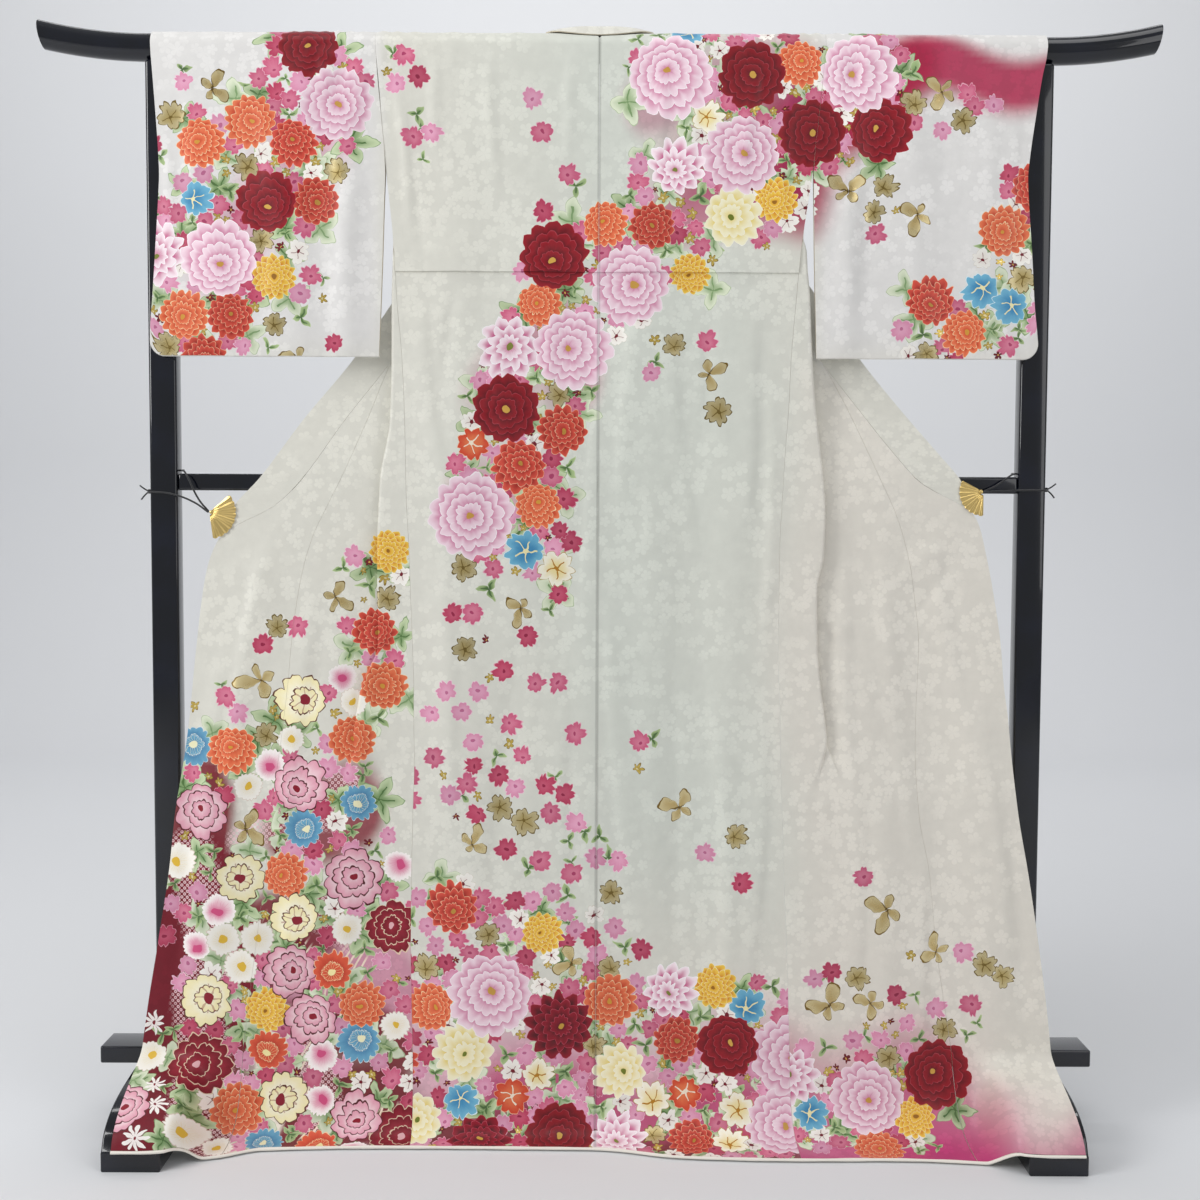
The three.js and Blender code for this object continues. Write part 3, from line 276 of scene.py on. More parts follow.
HANG_BACK, HANG_MIDDLE, HANG_REAR = lines_of(HANG)
SECTION_LINES = {side: lines_of(table) for side, table in SECTIONS.items()}
HEM_REACH = lines_of(HEM)[0]
SIDE, FOLD, TURN, SEAM, OUTER, EDGE = range(6)


def section(side, column, row):
    """One width of a front at a height: a column of SECTIONS."""
    return SECTION_LINES[side][column](row)


def swell(table, across, height):
    """How far the swells of a table push the cloth forward at a place."""
    total = np.zeros(np.broadcast(across, height).shape)
    for top, foot, x_top, x_foot, breadth, depth in np.array(table) * MM:
        down = np.clip((top - height) / (top - foot), 0, 1)
        strength = ease(down, 0, 0.25) * (1 - 0.5 * ease(down, 0.8, 1))
        total = total + depth * strength * np.exp(-(((across - mix(x_top, x_foot, down)) / breadth) ** 2))
    return total


def crease(table, across, height):
    """How far creases push the cloth forward; one flank of each is steeper, and its ends fade."""
    total = np.zeros(np.broadcast(across, height).shape)
    for k, (x0, z0, x1, z1, breadth, depth) in enumerate(np.array(table) * MM):
        length = math.hypot(x1 - x0, z1 - z0)
        run = ((across - x0) * (x1 - x0) + (height - z0) * (z1 - z0)) / length**2
        bow = 0.35 * breadth * np.sin(5 * run + k)
        aside = (((across - x0) * (z1 - z0) - (height - z0) * (x1 - x0)) / length + bow) / breadth
        steep = np.where(aside * (-1) ** k > 0, 1.5, 0.75)
        fade = ease(run, -0.08, 0.3) * (1 - ease(run, 0.66, 1.08))
        total = total + depth * fade * np.exp(-((aside * steep) ** 2))
    return total


def gathers(across, below):
    """How far the small gathers stand off the bar, at a distance down from its top edge."""
    total = np.zeros(np.broadcast(across, below).shape)
    for x, breadth, depth, run in np.array(GATHERS) * MM:
        drift = x * 0.03 * below / (abs(x) + 0.1)
        aside = (across - x - drift) / breadth
        total = total + depth * (1 - ease(below, 0.2 * run, run)) * np.exp(-(aside**2))
    return total


def relief(across, height):
    """How far swells and creases together push the hanging cloth forward."""
    return swell(SWELLS, across, height) + crease(CREASES, across, height)


def hang(across, row, depth):
    """Points of hanging cloth at signed widths, row heights and layer depths, bent forward below HEM_TOP."""
    across, row, depth = np.broadcast_arrays(*(np.asarray(v, float) for v in (across, row, depth)))
    lift = relief(across, np.full(across.shape, HEM_TOP))
    straight = depth - relief(across, row) - gathers(across, BAR_HEIGHT - row)
    climb = ease(np.abs(across), *OVER_FOOT)
    u = np.clip(1 - row / HEM_TOP, 0, 1)

    def drape(name, k):
        return mix(FLOOR_DRAPE[name][k], FOOT_DRAPE[name][k], climb) * MM

    def cubic(a, b, c, d):
        return a * (1 - u) ** 3 + 3 * b * u * (1 - u) ** 2 + 3 * c * u * u * (1 - u) + d * u**3

    bent = cubic(depth - lift, drape("belly", 0) - lift, drape("knee", 0), HEM_REACH(across))
    edge = mix(FLOOR_DRAPE["edge"], FOOT_DRAPE["edge"], climb) * MM
    fall = cubic(HEM_TOP, drape("belly", 1), drape("knee", 1), edge)
    low = row < HEM_TOP
    return np.stack([across, np.where(low, bent, straight), np.where(low, fall, row)], axis=-1)


def round_bar(across, degrees):
    """Points of cloth that rounds the bar, at angles past its top."""
    angle = math.radians(degrees)
    fade = max(math.cos(angle), 0) ** 0.5
    reach = BAR_REACH + gathers(across, np.zeros_like(across)) * fade
    return np.stack([across, reach * math.sin(angle), BAR_HEIGHT + reach * math.cos(angle)], axis=-1)


# -------------------- the panels as grids of points
PANEL_COLUMNS = 60
OUTER_POINTS = 30  # of a front's columns, those from its side seam to where it turns out again
TURNS = np.linspace(-90, 90, 19)
BAR_REACH = BAR_RADIUS + 2 * GAP + CLOTH_CAD / 2
OVER_BAR = BAR_HEIGHT + (np.radians(TURNS)[:, None] + math.pi / 2) * BAR_REACH  # lengths round the bar
OVER_TOP = 2 * BAR_HEIGHT + math.pi * BAR_REACH  # a length down the back plus the same down the front


def rows_between(low, high, step, extra=()):
    """Even heights from low to high, about a step apart, with any extra ones."""
    count = max(2, round((high - low) / step) + 1)
    return np.unique(np.concatenate([np.linspace(low, high, count), np.array(extra, float)]))


def hanging_rows(top, step, extra=()):
    """Row heights of cloth that hangs from a top to the hem."""
    bend = np.linspace(0, HEM_TOP, 15)[:-1]
    return np.concatenate([bend, rows_between(HEM_TOP, top, step, extra)])


def drops(points, rows):
    """The height of each point measured along the cloth: true above HEM_TOP, and round the bend below it."""
    heights = np.repeat(rows[:, None], points.shape[1], axis=1)
    lengths = np.linalg.norm(np.diff(points, axis=0), axis=-1)
    for i in range(int(np.sum(rows < HEM_TOP - 1e-9)) - 1, -1, -1):
        heights[i] = heights[i + 1] - lengths[i]
    return heights


def back_rows(side, rows):
    """Points of half the back, with the small tuck across it."""
    shares = np.linspace(0, 1, PANEL_COLUMNS + 1)[None, :]
    edge = section(side, SIDE, rows)[:, None] - GAP / 2
    above = np.where(rows >= TUCK_HEIGHT, TUCK_DEPTH * (1 - ease(rows, TUCK_HEIGHT, TUCK_TOP)), 0.0)
    return hang(SIGN[side] * mix(GAP / 2, edge, shares), rows[:, None], (HANG_BACK(rows) - above)[:, None])


def overlap_seam(row):
    """Half the clearance at the overlap seam, wider where the hem bends."""
    return GAP * mix(1.6, 0.5, ease(row, 0, 210 * MM))


def front_row(side, row):
    """Widths and depths along one row of a front, from the overlap seam in to the side seam."""
    side_seam, fold, turn, seam = (section(side, k, row) for k in (SIDE, FOLD, TURN, SEAM))
    seam, start = seam - overlap_seam(row), side_seam + GAP / 2
    back, middle, rear = HANG_BACK(row), HANG_MIDDLE(row), HANG_REAR(row)
    opened = ease(row, PLEAT_GONE, PLEAT_FULL)
    strip = opened * (1 - ease(row, COLLAR_LOW, COLLAR_FLAT))
    turned = opened * (1 - ease(row, 1500 * MM, 1600 * MM))
    side_depth = mix(middle, back, 1 - ease(row, COLLAR_LOW, COLLAR_FLAT))
    reach = min(PLEAT_CURVE, max(0.5 * MM, (fold - start) / 2))
    inside = turn + PLEAT_CURVE

    def bow(x, from_y, to_y, away, count):
        """A half round from one layer to the next."""
        angles = np.linspace(-np.pi / 2, np.pi / 2, count)
        y = (from_y + to_y) / 2 + (to_y - from_y) / 2 * np.sin(angles)
        return np.stack([x + away * np.cos(angles), y], axis=-1)

    def straight(from_x, to_x, y, count, last):
        shares = np.linspace(0, 1, count, endpoint=last)[:, None]
        return mix(np.array([[from_x, y]]), np.array([[to_x, y]]), shares)

    def evenly(shares):
        return mix(np.array([[start, side_depth]]), np.array([[seam, rear]]), shares[:, None])

    inner = np.concatenate([
        bow(inside, middle, rear, -PLEAT_CURVE, 9),
        straight(inside, seam, rear, PANEL_COLUMNS + 2 - OUTER_POINTS - 9, True)[1:],
    ])
    count = len(inner)
    shares = (OUTER_POINTS + np.arange(count)) / PANEL_COLUMNS
    inner = mix(evenly(shares), inner, turned)
    outer = np.concatenate([
        straight(start, fold - reach, back, 9, True),
        bow(fold - reach, back, middle, reach, 9)[1:],
        straight(fold - reach, inner[0, 0], middle, OUTER_POINTS - 16, False)[1:],
    ])
    even = mix(np.array([[start, side_depth]]), inner[:1], (np.arange(len(outer)) / len(outer))[:, None])
    outer = mix(even, outer, strip)
    return np.concatenate([outer, inner])[::-1]


def front_rows(side, rows):
    """Points of one front, with its pleat."""
    path = np.stack([front_row(side, row) for row in rows])
    return hang(SIGN[side] * path[..., 0], rows[:, None], path[..., 1])


def body_grid(side, step):
    """Points and cloth lengths of half the body: back hem, shoulder, front hem."""
    rows = hanging_rows(BODY_TOP, step, (TUCK_HEIGHT - 3 * MM, TUCK_HEIGHT))
    back = back_rows(side, rows)
    neck = through([a for a, _ in NECK], [w * MM for _, w in NECK])
    edge = section(side, SIDE, BAR_HEIGHT) - GAP / 2
    shares = np.linspace(0, 1, PANEL_COLUMNS + 1)
    shoulder = np.stack([round_bar(SIGN[side] * mix(neck(a), edge, shares), a) for a in TURNS])
    front = front_rows(side, rows)
    over = OVER_BAR + 0 * shoulder[..., 0]
    down = np.concatenate([drops(back, rows), over, OVER_TOP - drops(front, rows)[::-1]])
    points = np.concatenate([back, shoulder, front[::-1]])
    return points, np.stack([points[..., 0], down], axis=-1)


def overlap_grid(side, step):
    """Points and cloth lengths of one overlap panel."""
    rows = hanging_rows(OVERLAP_TOP, step)
    inner = section(side, SEAM, rows) + overlap_seam(rows)
    outer = np.maximum(section(side, OUTER, rows) - GAP, inner + 2 * MM)
    shares = np.linspace(0, 1, 21)[None, :]
    across = SIGN[side] * mix(inner[:, None], outer[:, None], shares)
    points = hang(across, rows[:, None], HANG_REAR(rows)[:, None])
    return points, np.stack([points[..., 0], OVER_TOP - drops(points, rows)], axis=-1)


def collar_grid(step):
    """One band from the left front round the neck to the right front, its seam first in each row."""
    shares = np.linspace(0, 1, 11)[None, :]
    swing_table = np.array(COLLAR_SWING, float)
    heights = swing_table[:, 0] * MM
    swing = through(heights, swing_table[:, 1])
    width, lap, clear = (through(heights, swing_table[:, k] * MM) for k in (2, 3, 4))

    def hanging(side):
        rows = rows_between(COLLAR_FOOT[side] + COLLAR_LIFT, COLLAR_TOP, step)
        seam = section(side, OUTER, rows) + clear(rows)
        reach = np.where(rows > COLLAR_FLAT, width(rows), section(side, EDGE, rows) - seam)
        angle = np.radians(swing(rows))[:, None]
        out = shares * reach[:, None]
        across = seam[:, None] + out * np.cos(angle)
        points = hang(SIGN[side] * across, rows[:, None], (HANG_REAR(rows) + lap(rows))[:, None])
        points[..., 1] += out * np.sin(angle)
        return points, SIGN[side] * (seam[:, None] + out)

    places = np.linspace(0, len(COLLAR_NECK) - 1, 29)[::-1]
    station = np.array(COLLAR_NECK, float) * MM
    seams, crowns, edges = (
        np.stack([through(range(len(station)), station[:, p, k])(places) for k in range(3)], axis=-1)[:, None]
        for p in range(3)
    )
    bend = shares[..., None]
    neck = seams * (1 - bend) ** 2 + 2 * crowns * bend * (1 - bend) + edges * bend**2
    halves = []
    for side, sign in SIGN.items():
        hung, wide = hanging(side)
        turned = neck * np.array([sign, 1, 1])
        points = np.concatenate([hung, turned])
        along = np.cumsum(np.linalg.norm(np.diff(points[:, 0], axis=0), axis=-1))
        down = OVER_TOP - COLLAR_FOOT[side] - COLLAR_LIFT - np.concatenate([[0], along])[:, None]
        round_neck = np.repeat(sign * mix(*COLLAR_LAID, shares), len(turned), axis=0)
        wide = COLLAR_ASIDE + np.concatenate([wide, round_neck])
        halves.append((points, np.stack(np.broadcast_arrays(wide, down), axis=-1)))
    (left, left_flat), (right, right_flat) = halves
    return np.concatenate([left, right[::-1][1:]]), np.concatenate([left_flat, right_flat[::-1][1:]])


def sleeve_grid(side, step):
    """A closed round of rows: up before the bar, over it, down behind it and back under the sewn foot."""
    inner_line, front_line, behind_line = lines_of(SLEEVES[side])
    hang_front, hang_behind = lines_of(SLEEVE_HANG)
    turn = SLEEVE_CORNER / (front_line(BAR_HEIGHT) - inner_line(BAR_HEIGHT))
    corner = 1 - turn + turn * np.sin(np.linspace(0, np.pi / 2, 11))
    shares = np.concatenate([np.linspace(0, 1 - turn, 34)[:-1], corner])
    rows = rows_between(SLEEVE_FOOT, SLEEVE_TOP, step)

    def layer(edge_line, before):
        inner = inner_line(rows)[:, None] + GAP / 2
        outer = edge_line(rows)[:, None]
        across = mix(inner, outer, shares[None, :])
        past = np.maximum(0, across - (outer - SLEEVE_CORNER))
        rounded = SLEEVE_CORNER - np.sqrt(np.maximum(SLEEVE_CORNER**2 - past**2, 0))
        row = rows[:, None]
        height = row + rounded * (1 - ease(row, SLEEVE_FOOT, SLEEVE_CORNER_TOP))
        opened = ease(row, SLEEVE_FOOT, SLEEVE_FOOT + SLEEVE_SEAM_RISE)
        beside = mix(ease(outer - across, 0, SLEEVE_SEAM_REACH), 1, ease(row, *SLEEVE_MOUTH))
        spread = (hang_behind(rows) - hang_front(rows))[:, None]
        least = CLOTH_CAD + GAP
        apart = 0 if before else least + (spread - least) * opened * beside
        x = SIGN[side] * across
        stand = swell(SLEEVE_SWELLS, x, row) + crease(SLEEVE_CREASES, x, row) + gathers(x, BAR_HEIGHT - row)
        y = hang_front(rows)[:, None] + apart - stand * (1 if before else mix(1, 0.5, opened))
        return np.stack(np.broadcast_arrays(x, y, height), axis=-1)

    widths = mix(inner_line(BAR_HEIGHT) + GAP / 2, front_line(BAR_HEIGHT), shares)
    over = np.stack([round_bar(SIGN[side] * widths, a) for a in TURNS])
    front, behind = layer(front_line, True), layer(behind_line, False)
    down = np.concatenate([
        np.repeat(rows[:, None], len(shares), axis=1),
        OVER_BAR + 0 * over[..., 0],
        OVER_TOP - np.repeat(rows[::-1, None], len(shares), axis=1),
    ])
    middle = (front[0] + behind[0]) / 2 - np.array([0, 0, 0.8 * MM])
    points = np.concatenate([front, over, behind[::-1], middle[None]])
    down = np.concatenate([down, down[-1:] + 2 * MM])
    return points, np.stack([points[..., 0], down], axis=-1)


# -------------------- the print
def linear(code):
    """A colour written as #rrggbb in linear light."""
    parts = [int(code[k : k + 2], 16) / 255 for k in (1, 3, 5)]
    return tuple(p / 12.92 if p <= 0.04045 else ((p + 0.055) / 1.055) ** 2.4 for p in parts)


# Motifs: name, petals, depth and sharpness of the valleys between them, notch, rings of petals, width of the
# rim, stamens, eye, foil, then the colours of petal tips, petal roots, rim and eye, and the smallest and
# largest radius in mm.
MOTIFS = (
    ("rose_blossom", 5, 0.36, 2.4, 0.17, 1, 0.07, 0, 0.16, 0,
     "#cb5c7e", "#d87d96", "#e6a6b8", "#ad3e66", 15, 18),
    ("pale_blossom", 5, 0.36, 2.4, 0.17, 1, 0.07, 0, 0.16, 0,
     "#dc8fae", "#e4a5bf", "#f0c6d6", "#bf6a90", 15, 18),
    ("dark_blossom", 5, 0.36, 2.4, 0.17, 1, 0.07, 0, 0.16, 0,
     "#b63a5a", "#c4546f", "#dc8fa2", "#931f42", 15, 18),
    ("plum_blossom", 5, 0.34, 2.4, 0.14, 1, 0.03, 0.7, 0.17, 0,
     "#faf7ef", "#f3ebe2", "#d9cdbb", "#741022", 15, 18),
    ("cream_blossom", 5, 0.34, 2.4, 0.18, 1, 0.04, 1, 0.12, 0,
     "#fbf7e6", "#f0dfa2", "#b79a4c", "#b57d18", 25, 30),
    ("dark_star", 5, 0.62, 1.5, 0, 1, 0, 0, 0.2, 0,
     "#6d0f1f", "#6d0f1f", "#4a0913", "#caa04c", 5, 7),
    ("red_mum", 14, 0.17, 1.5, 0, 4, 0.022, 0, 0.1, 0,
     "#d64f3e", "#9c2219", "#f0b592", "#b98a3a", 34, 42),
    ("orange_mum", 16, 0.15, 1.7, 0, 4, 0.022, 0, 0.1, 0,
     "#ec7a50", "#c8401f", "#fbd9a8", "#d39a3a", 32, 40),
    ("golden_mum", 15, 0.17, 1.5, 0, 5, 0.02, 0, 0.1, 0,
     "#f6cc4e", "#dd8f1c", "#fdf0ba", "#9d6a14", 30, 37),
    ("blue_flower", 5, 0.26, 2.2, 0.2, 1, 0.04, 1, 0.13, 0,
     "#6fb2cf", "#3a86b4", "#d6e9ee", "#f0e6b0", 25, 31),
    ("dark_dahlia", 13, 0.2, 1.4, 0, 4, 0.016, 0, 0.09, 0,
     "#8f0c24", "#4d0410", "#bf4a5c", "#c89a3c", 42, 52),
    ("pale_mum", 12, 0.19, 1.6, 0, 3, 0.014, 0, 0.1, 0,
     "#faf4d2", "#ecd67a", "#fffdf0", "#6f7a22", 38, 47),
    ("pink_dahlia", 11, 0.24, 1.3, 0, 3, 0.02, 0, 0.09, 0,
     "#fbeaf0", "#c9628e", "#ffffff", "#7f8436", 42, 52),
    ("pink_peony", 7, 0.15, 3.4, 0.1, 4, 0.018, 0, 0.09, 0,
     "#f7dde7", "#cc6d98", "#fdf3f6", "#c99a44", 52, 64),
    ("dark_peony", 6, 0.15, 3.4, 0.1, 4, 0.014, 0, 0.1, 0,
     "#93101f", "#560510", "#b3404c", "#d3a64a", 44, 54),
    ("leaves", 5, 0.62, 1.15, 0, 1, 0.05, 1, 0.06, 0,
     "#c6d5ab", "#7d9c66", "#8da878", "#53743f", 26, 38),
    ("pale_leaves", 4, 0.6, 1.2, 0, 1, 0.04, 1, 0.06, 0,
     "#dfe6cc", "#a3b98c", "#b0c29a", "#7c9968", 26, 36),
    ("sprig", 3, 1, 0.95, 0, 1, 0.06, 0.8, 0.08, 0,
     "#a9bf88", "#64844a", "#c3d0a4", "#48663a", 12, 20),
    ("gold_butterfly", 4, 0.8, 2.6, 0.06, 1, 0.07, 0.9, 0.08, 1,
     "#dccb9a", "#c8b077", "#84692c", "#6b5422", 26, 36),
    ("gold_blossom", 5, 0.36, 2.4, 0.18, 1, 0.09, 1, 0.14, 1,
     "#cdbf94", "#b7a36a", "#7d6934", "#7f6a34", 18, 23),
    ("gold_star", 5, 0.6, 1.5, 0, 1, 0.18, 0, 0.22, 1,
     "#dcc46c", "#c8a84a", "#9a7a2c", "#f1e4b0", 6, 9),
    ("orange_pink", 5, 0.24, 2.2, 0.24, 1, 0.04, 1, 0.12, 0,
     "#d9492c", "#ea7a4c", "#f6c09a", "#fdf0d8", 25, 32),
    ("outlined_pink", 6, 0.2, 3, 0.08, 3, 0.045, 0, 0.12, 0,
     "#e3a0b2", "#f4d6da", "#581e22", "#8c0b25", 38, 47),
    ("outlined_pale", 6, 0.22, 3, 0.1, 2, 0.045, 0.5, 0.2, 0,
     "#f6ebb8", "#fbf6e2", "#5e3222", "#8c1a2c", 34, 42),
    ("outlined_dark", 7, 0.2, 3, 0.1, 3, 0.035, 0, 0.12, 0,
     "#7e0c20", "#a22438", "#ecd0b4", "#e9b6b9", 40, 50),
    ("white_pompon", 20, 0.12, 1.6, 0, 1, 0.05, 0.3, 0.24, 0,
     "#fbf7ee", "#f3ecda", "#e2d2c4", "#e3b93c", 20, 27),
    ("pink_pompon", 22, 0.1, 1.6, 0, 1, 0.04, 0, 0.3, 0,
     "#fbf3f0", "#dd7fa0", "#fdf6f2", "#cf4f7e", 20, 27),
    ("blue_mum", 16, 0.16, 1.8, 0, 2, 0.03, 0.6, 0.2, 0,
     "#6aa7c6", "#3f7ba8", "#d3e4ea", "#f4efc6", 27, 34),
    ("orange_daisy", 15, 0.16, 1.8, 0, 2, 0.035, 0.6, 0.2, 0,
     "#dd5a3c", "#b8321f", "#f2c79c", "#f4e6a6", 28, 36),
    ("white_daisy", 9, 0.8, 1.5, 0, 1, 0, 0, 0.14, 0,
     "#faf6f0", "#f6ece8", "#f6ece8", "#7c0b22", 15, 20),
)
MOTIF_SLOTS = 32
KIND = {motif[0]: k for k, motif in enumerate(MOTIFS)}
BIG = (
    "pink_peony", "dark_peony", "pink_dahlia", "dark_dahlia", "pale_mum", "red_mum", "pink_peony",
    "pink_dahlia",
)
SHOWY = (
    "red_mum", "orange_mum", "golden_mum", "blue_flower", "red_mum", "pale_mum", "cream_blossom",
    "orange_mum", "orange_pink", "cream_blossom", "cream_blossom",
)
BRIGHT = ("orange_mum", "red_mum", "blue_flower", "orange_pink", "cream_blossom", "pale_mum", "golden_mum")
BLOSSOMS = ("rose_blossom", "pale_blossom", "rose_blossom", "pale_blossom", "dark_blossom", "plum_blossom")
PINKS = ("rose_blossom", "pale_blossom", "dark_blossom")
SPRIGS = ("sprig", "sprig", "gold_star", "dark_star", "gold_star")
GOLDS = ("gold_blossom", "gold_butterfly", "gold_star")
BOLD = (
    "outlined_pink", "outlined_pale", "orange_mum", "blue_mum", "outlined_dark", "orange_daisy",
    "outlined_pink", "golden_mum",
)
POMPONS = ("white_pompon", "pink_pompon")
LEAVES = ("leaves", "pale_leaves")
# Where the print gathers: layer, from, to and half breadth in mm, then how many of which motifs.
SPRAYS = (
    ("back", -400, 1580, -450, 1450, 60, ((BIG, 2), (SHOWY, 4), (BLOSSOMS, 81), (SPRIGS, 10), (GOLDS, 2))),
    ("back", -470, 1440, -590, 1250, 78, ((BIG, 4), (SHOWY, 6), (BLOSSOMS, 108), (SPRIGS, 14), (GOLDS, 4))),
    ("back", -560, 1210, -628, 1180, 50, ((BRIGHT, 4), (BLOSSOMS, 35), (SPRIGS, 8), (GOLDS, 2))),
    ("back", -420, 1240, -470, 1190, 60, ((PINKS, 3), (GOLDS, 3), (SPRIGS, 2))),
    ("back", -560, 1560, -620, 1440, 50, ((PINKS, 4), (GOLDS, 2))),
    ("back", 60, 1590, 300, 1560, 44, ((BIG, 2), (SHOWY, 4), (BLOSSOMS, 68), (SPRIGS, 8))),
    ("back", 252, 1510, 170, 1390, 86, ((BIG, 5), (SHOWY, 8), (BLOSSOMS, 130), (SPRIGS, 18), (GOLDS, 2))),
    ("back", 110, 1350, -30, 1240, 66, ((BIG, 2), (SHOWY, 6), (BLOSSOMS, 84), (SPRIGS, 14), (GOLDS, 3))),
    ("back", -50, 1220, -120, 1050, 62, ((BIG, 3), (SHOWY, 6), (BLOSSOMS, 89), (SPRIGS, 16), (GOLDS, 4))),
    ("back", -120, 1030, -130, 860, 66, ((BIG, 1), (BRIGHT, 5), (BLOSSOMS, 59), (SPRIGS, 12), (GOLDS, 5))),
    ("back", -130, 820, -170, 500, 110, ((PINKS, 22), (SPRIGS, 6), (GOLDS, 4))),
    ("back", -250, 560, 20, 400, 90, ((PINKS, 14), (GOLDS, 4), (SPRIGS, 4))),
    ("back", 60, 580, 200, 360, 60, ((GOLDS, 3), (PINKS, 3))),
    ("back", -290, 1590, -250, 1440, 30, ((PINKS, 6), (SPRIGS, 3))),
    ("back", -120, 1500, -60, 1400, 60, ((PINKS, 4),)),
    ("back", 70, 1240, 140, 1060, 50, ((GOLDS, 4), (PINKS, 2))),
    ("back", 360, 1590, 410, 1490, 60, ((BIG, 2), (SHOWY, 5), (BLOSSOMS, 60), (SPRIGS, 10), (GOLDS, 3))),
    ("back", 470, 1560, 560, 1490, 40, ((BLOSSOMS, 4), (GOLDS, 2))),
    ("back", 350, 1440, 430, 1340, 40, ((GOLDS, 6), (PINKS, 2))),
    ("back", 640, 1400, 600, 1240, 40, ((BRIGHT, 3), (BLOSSOMS, 32), (SPRIGS, 8), (GOLDS, 4))),
    ("back", 616, 1230, 470, 1172, 40, ((BRIGHT, 3), (BLOSSOMS, 40), (SPRIGS, 9), (GOLDS, 3))),
    ("back", -280, 330, 40, 240, 60, ((SHOWY, 3), (BLOSSOMS, 68), (SPRIGS, 12), (GOLDS, 4))),
    ("back", -280, 180, 290, 130, 74, ((BIG, 7), (SHOWY, 9), (BLOSSOMS, 162), (SPRIGS, 20), (GOLDS, 4))),
    ("back", -285, 30, 295, 20, 60, ((BIG, 5), (SHOWY, 12), (BLOSSOMS, 148), (SPRIGS, 14), (GOLDS, 2))),
    ("front", -330, 860, -340, 620, 46, ((SHOWY, 3), (POMPONS, 2), (BLOSSOMS, 12), (SPRIGS, 8), (GOLDS, 3))),
    ("front", -400, 640, -430, 450, 80, ((BOLD, 4), (POMPONS, 3), (BLOSSOMS, 18), (SPRIGS, 12), (GOLDS, 3))),
    ("front", -560, 560, -590, 330, 60, ((BOLD, 4), (POMPONS, 2), (BLOSSOMS, 5), (SPRIGS, 10))),
    ("front", -330, 400, -520, 300, 96, ((BOLD, 7), (POMPONS, 4), (BLOSSOMS, 32), (SPRIGS, 12))),
    ("front", -310, 210, -600, 180, 90, ((BOLD, 9), (POMPONS, 5), (BLOSSOMS, 32), (SPRIGS, 12))),
    ("front", -300, 40, -580, 40, 76, ((BOLD, 6), (POMPONS, 4), (BLOSSOMS, 24), (SPRIGS, 8))),
    ("front", -600, 150, -680, -10, 50, ((("white_daisy",), 9), (BOLD, 1), (POMPONS, 1))),
    ("front", -480, 760, -560, 620, 40, ((PINKS, 4), (GOLDS, 3))),
    ("front", 300, 70, 480, 50, 66, ((BIG, 3), (SHOWY, 4), (BLOSSOMS, 54), (SPRIGS, 12), (GOLDS, 4))),
    ("front", 330, 230, 560, 130, 50, ((PINKS, 12), (SPRIGS, 7), (GOLDS, 6))),
    ("front", 360, 400, 620, 200, 50, ((GOLDS, 5), (PINKS, 2))),
    ("front", -300, 1540, -130, 1420, 60, ((SHOWY, 5), (BLOSSOMS, 20), (SPRIGS, 8))),
    ("front", 140, 1560, 290, 1470, 50, ((SHOWY, 3), (BLOSSOMS, 14), (SPRIGS, 6))),
)
# Dye brushed on in soft clouds: layer, from, to, half breadth and softness in mm, colour and strength.
DYES = (
    ("back", 400, 1540, 660, 1540, 26, 26, "#b0184c", 0.95),
    ("back", 350, 1540, 400, 1530, 34, 40, "#a8123f", 0.95),
    ("back", 326, 1530, 340, 1470, 30, 50, "#a8123f", 0.9),
    ("back", 280, 1500, 320, 1430, 34, 60, "#9e1040", 0.9),
    ("back", 190, 1450, 300, 1420, 40, 60, "#a82050", 0.8),
    ("back", 130, 1370, 240, 1390, 30, 50, "#b8306a", 0.7),
    ("back", 20, 1265, 70, 1268, 8, 26, "#b8306a", 0.7),
    ("back", -110, 1150, -60, 1100, 30, 40, "#b0306c", 0.6),
    ("back", -130, 1000, -110, 950, 26, 40, "#b8407a", 0.5),
    ("back", -540, 1300, -460, 1420, 30, 50, "#c04a80", 0.5),
    ("back", 120, 1560, 300, 1570, 24, 40, "#a8306a", 0.55),
    ("back", -290, 110, 300, 80, 60, 90, "#d987ac", 0.6),
    ("back", -120, 60, 300, 40, 40, 60, "#b8306a", 0.85),
    ("back", -290, -30, 300, -60, 56, 46, "#74081e", 0.96),
    ("front", -300, 230, -460, 200, 70, 70, "#c65a8c", 0.7),
    ("front", -560, 520, -600, 300, 52, 24, "#7c0b22", 0.97),
    ("front", -560, 380, -600, 150, 80, 24, "#7c0b22", 0.97),
    ("front", -420, 340, -520, 270, 60, 24, "#7c0b22", 0.95),
    ("front", -330, 120, -560, 170, 50, 24, "#7c0b22", 0.95),
    ("front", -290, 0, -690, 10, 66, 24, "#74081e", 0.97),
    ("front", -690, -60, -640, 260, 90, 16, "#74081e", 1),
    ("front", -400, 500, -360, 470, 34, 24, "#8c1430", 0.9),
    ("front", -480, 190, -500, -60, 26, 4, "#efe6d6", 0.95),
    ("front", 290, -60, 640, -90, 60, 60, "#bb2c70", 0.96),
    ("front", 300, 90, 560, -10, 40, 80, "#c63a7c", 0.85),
    ("front", -300, 1500, -120, 1440, 50, 60, "#b8306a", 0.6),
)
# Patches of small tied dots on the dyed front: from, to, half breadth and softness in mm.
DOTTED = (
    (-600, 420, -560, 250, 34, 5), (-590, 210, -560, -60, 36, 5), (-440, 360, -360, 300, 24, 5),
    (-370, 520, -400, 480, 26, 5), (-420, 120, -400, 20, 30, 5), (-480, 470, -520, 440, 22, 5),
)
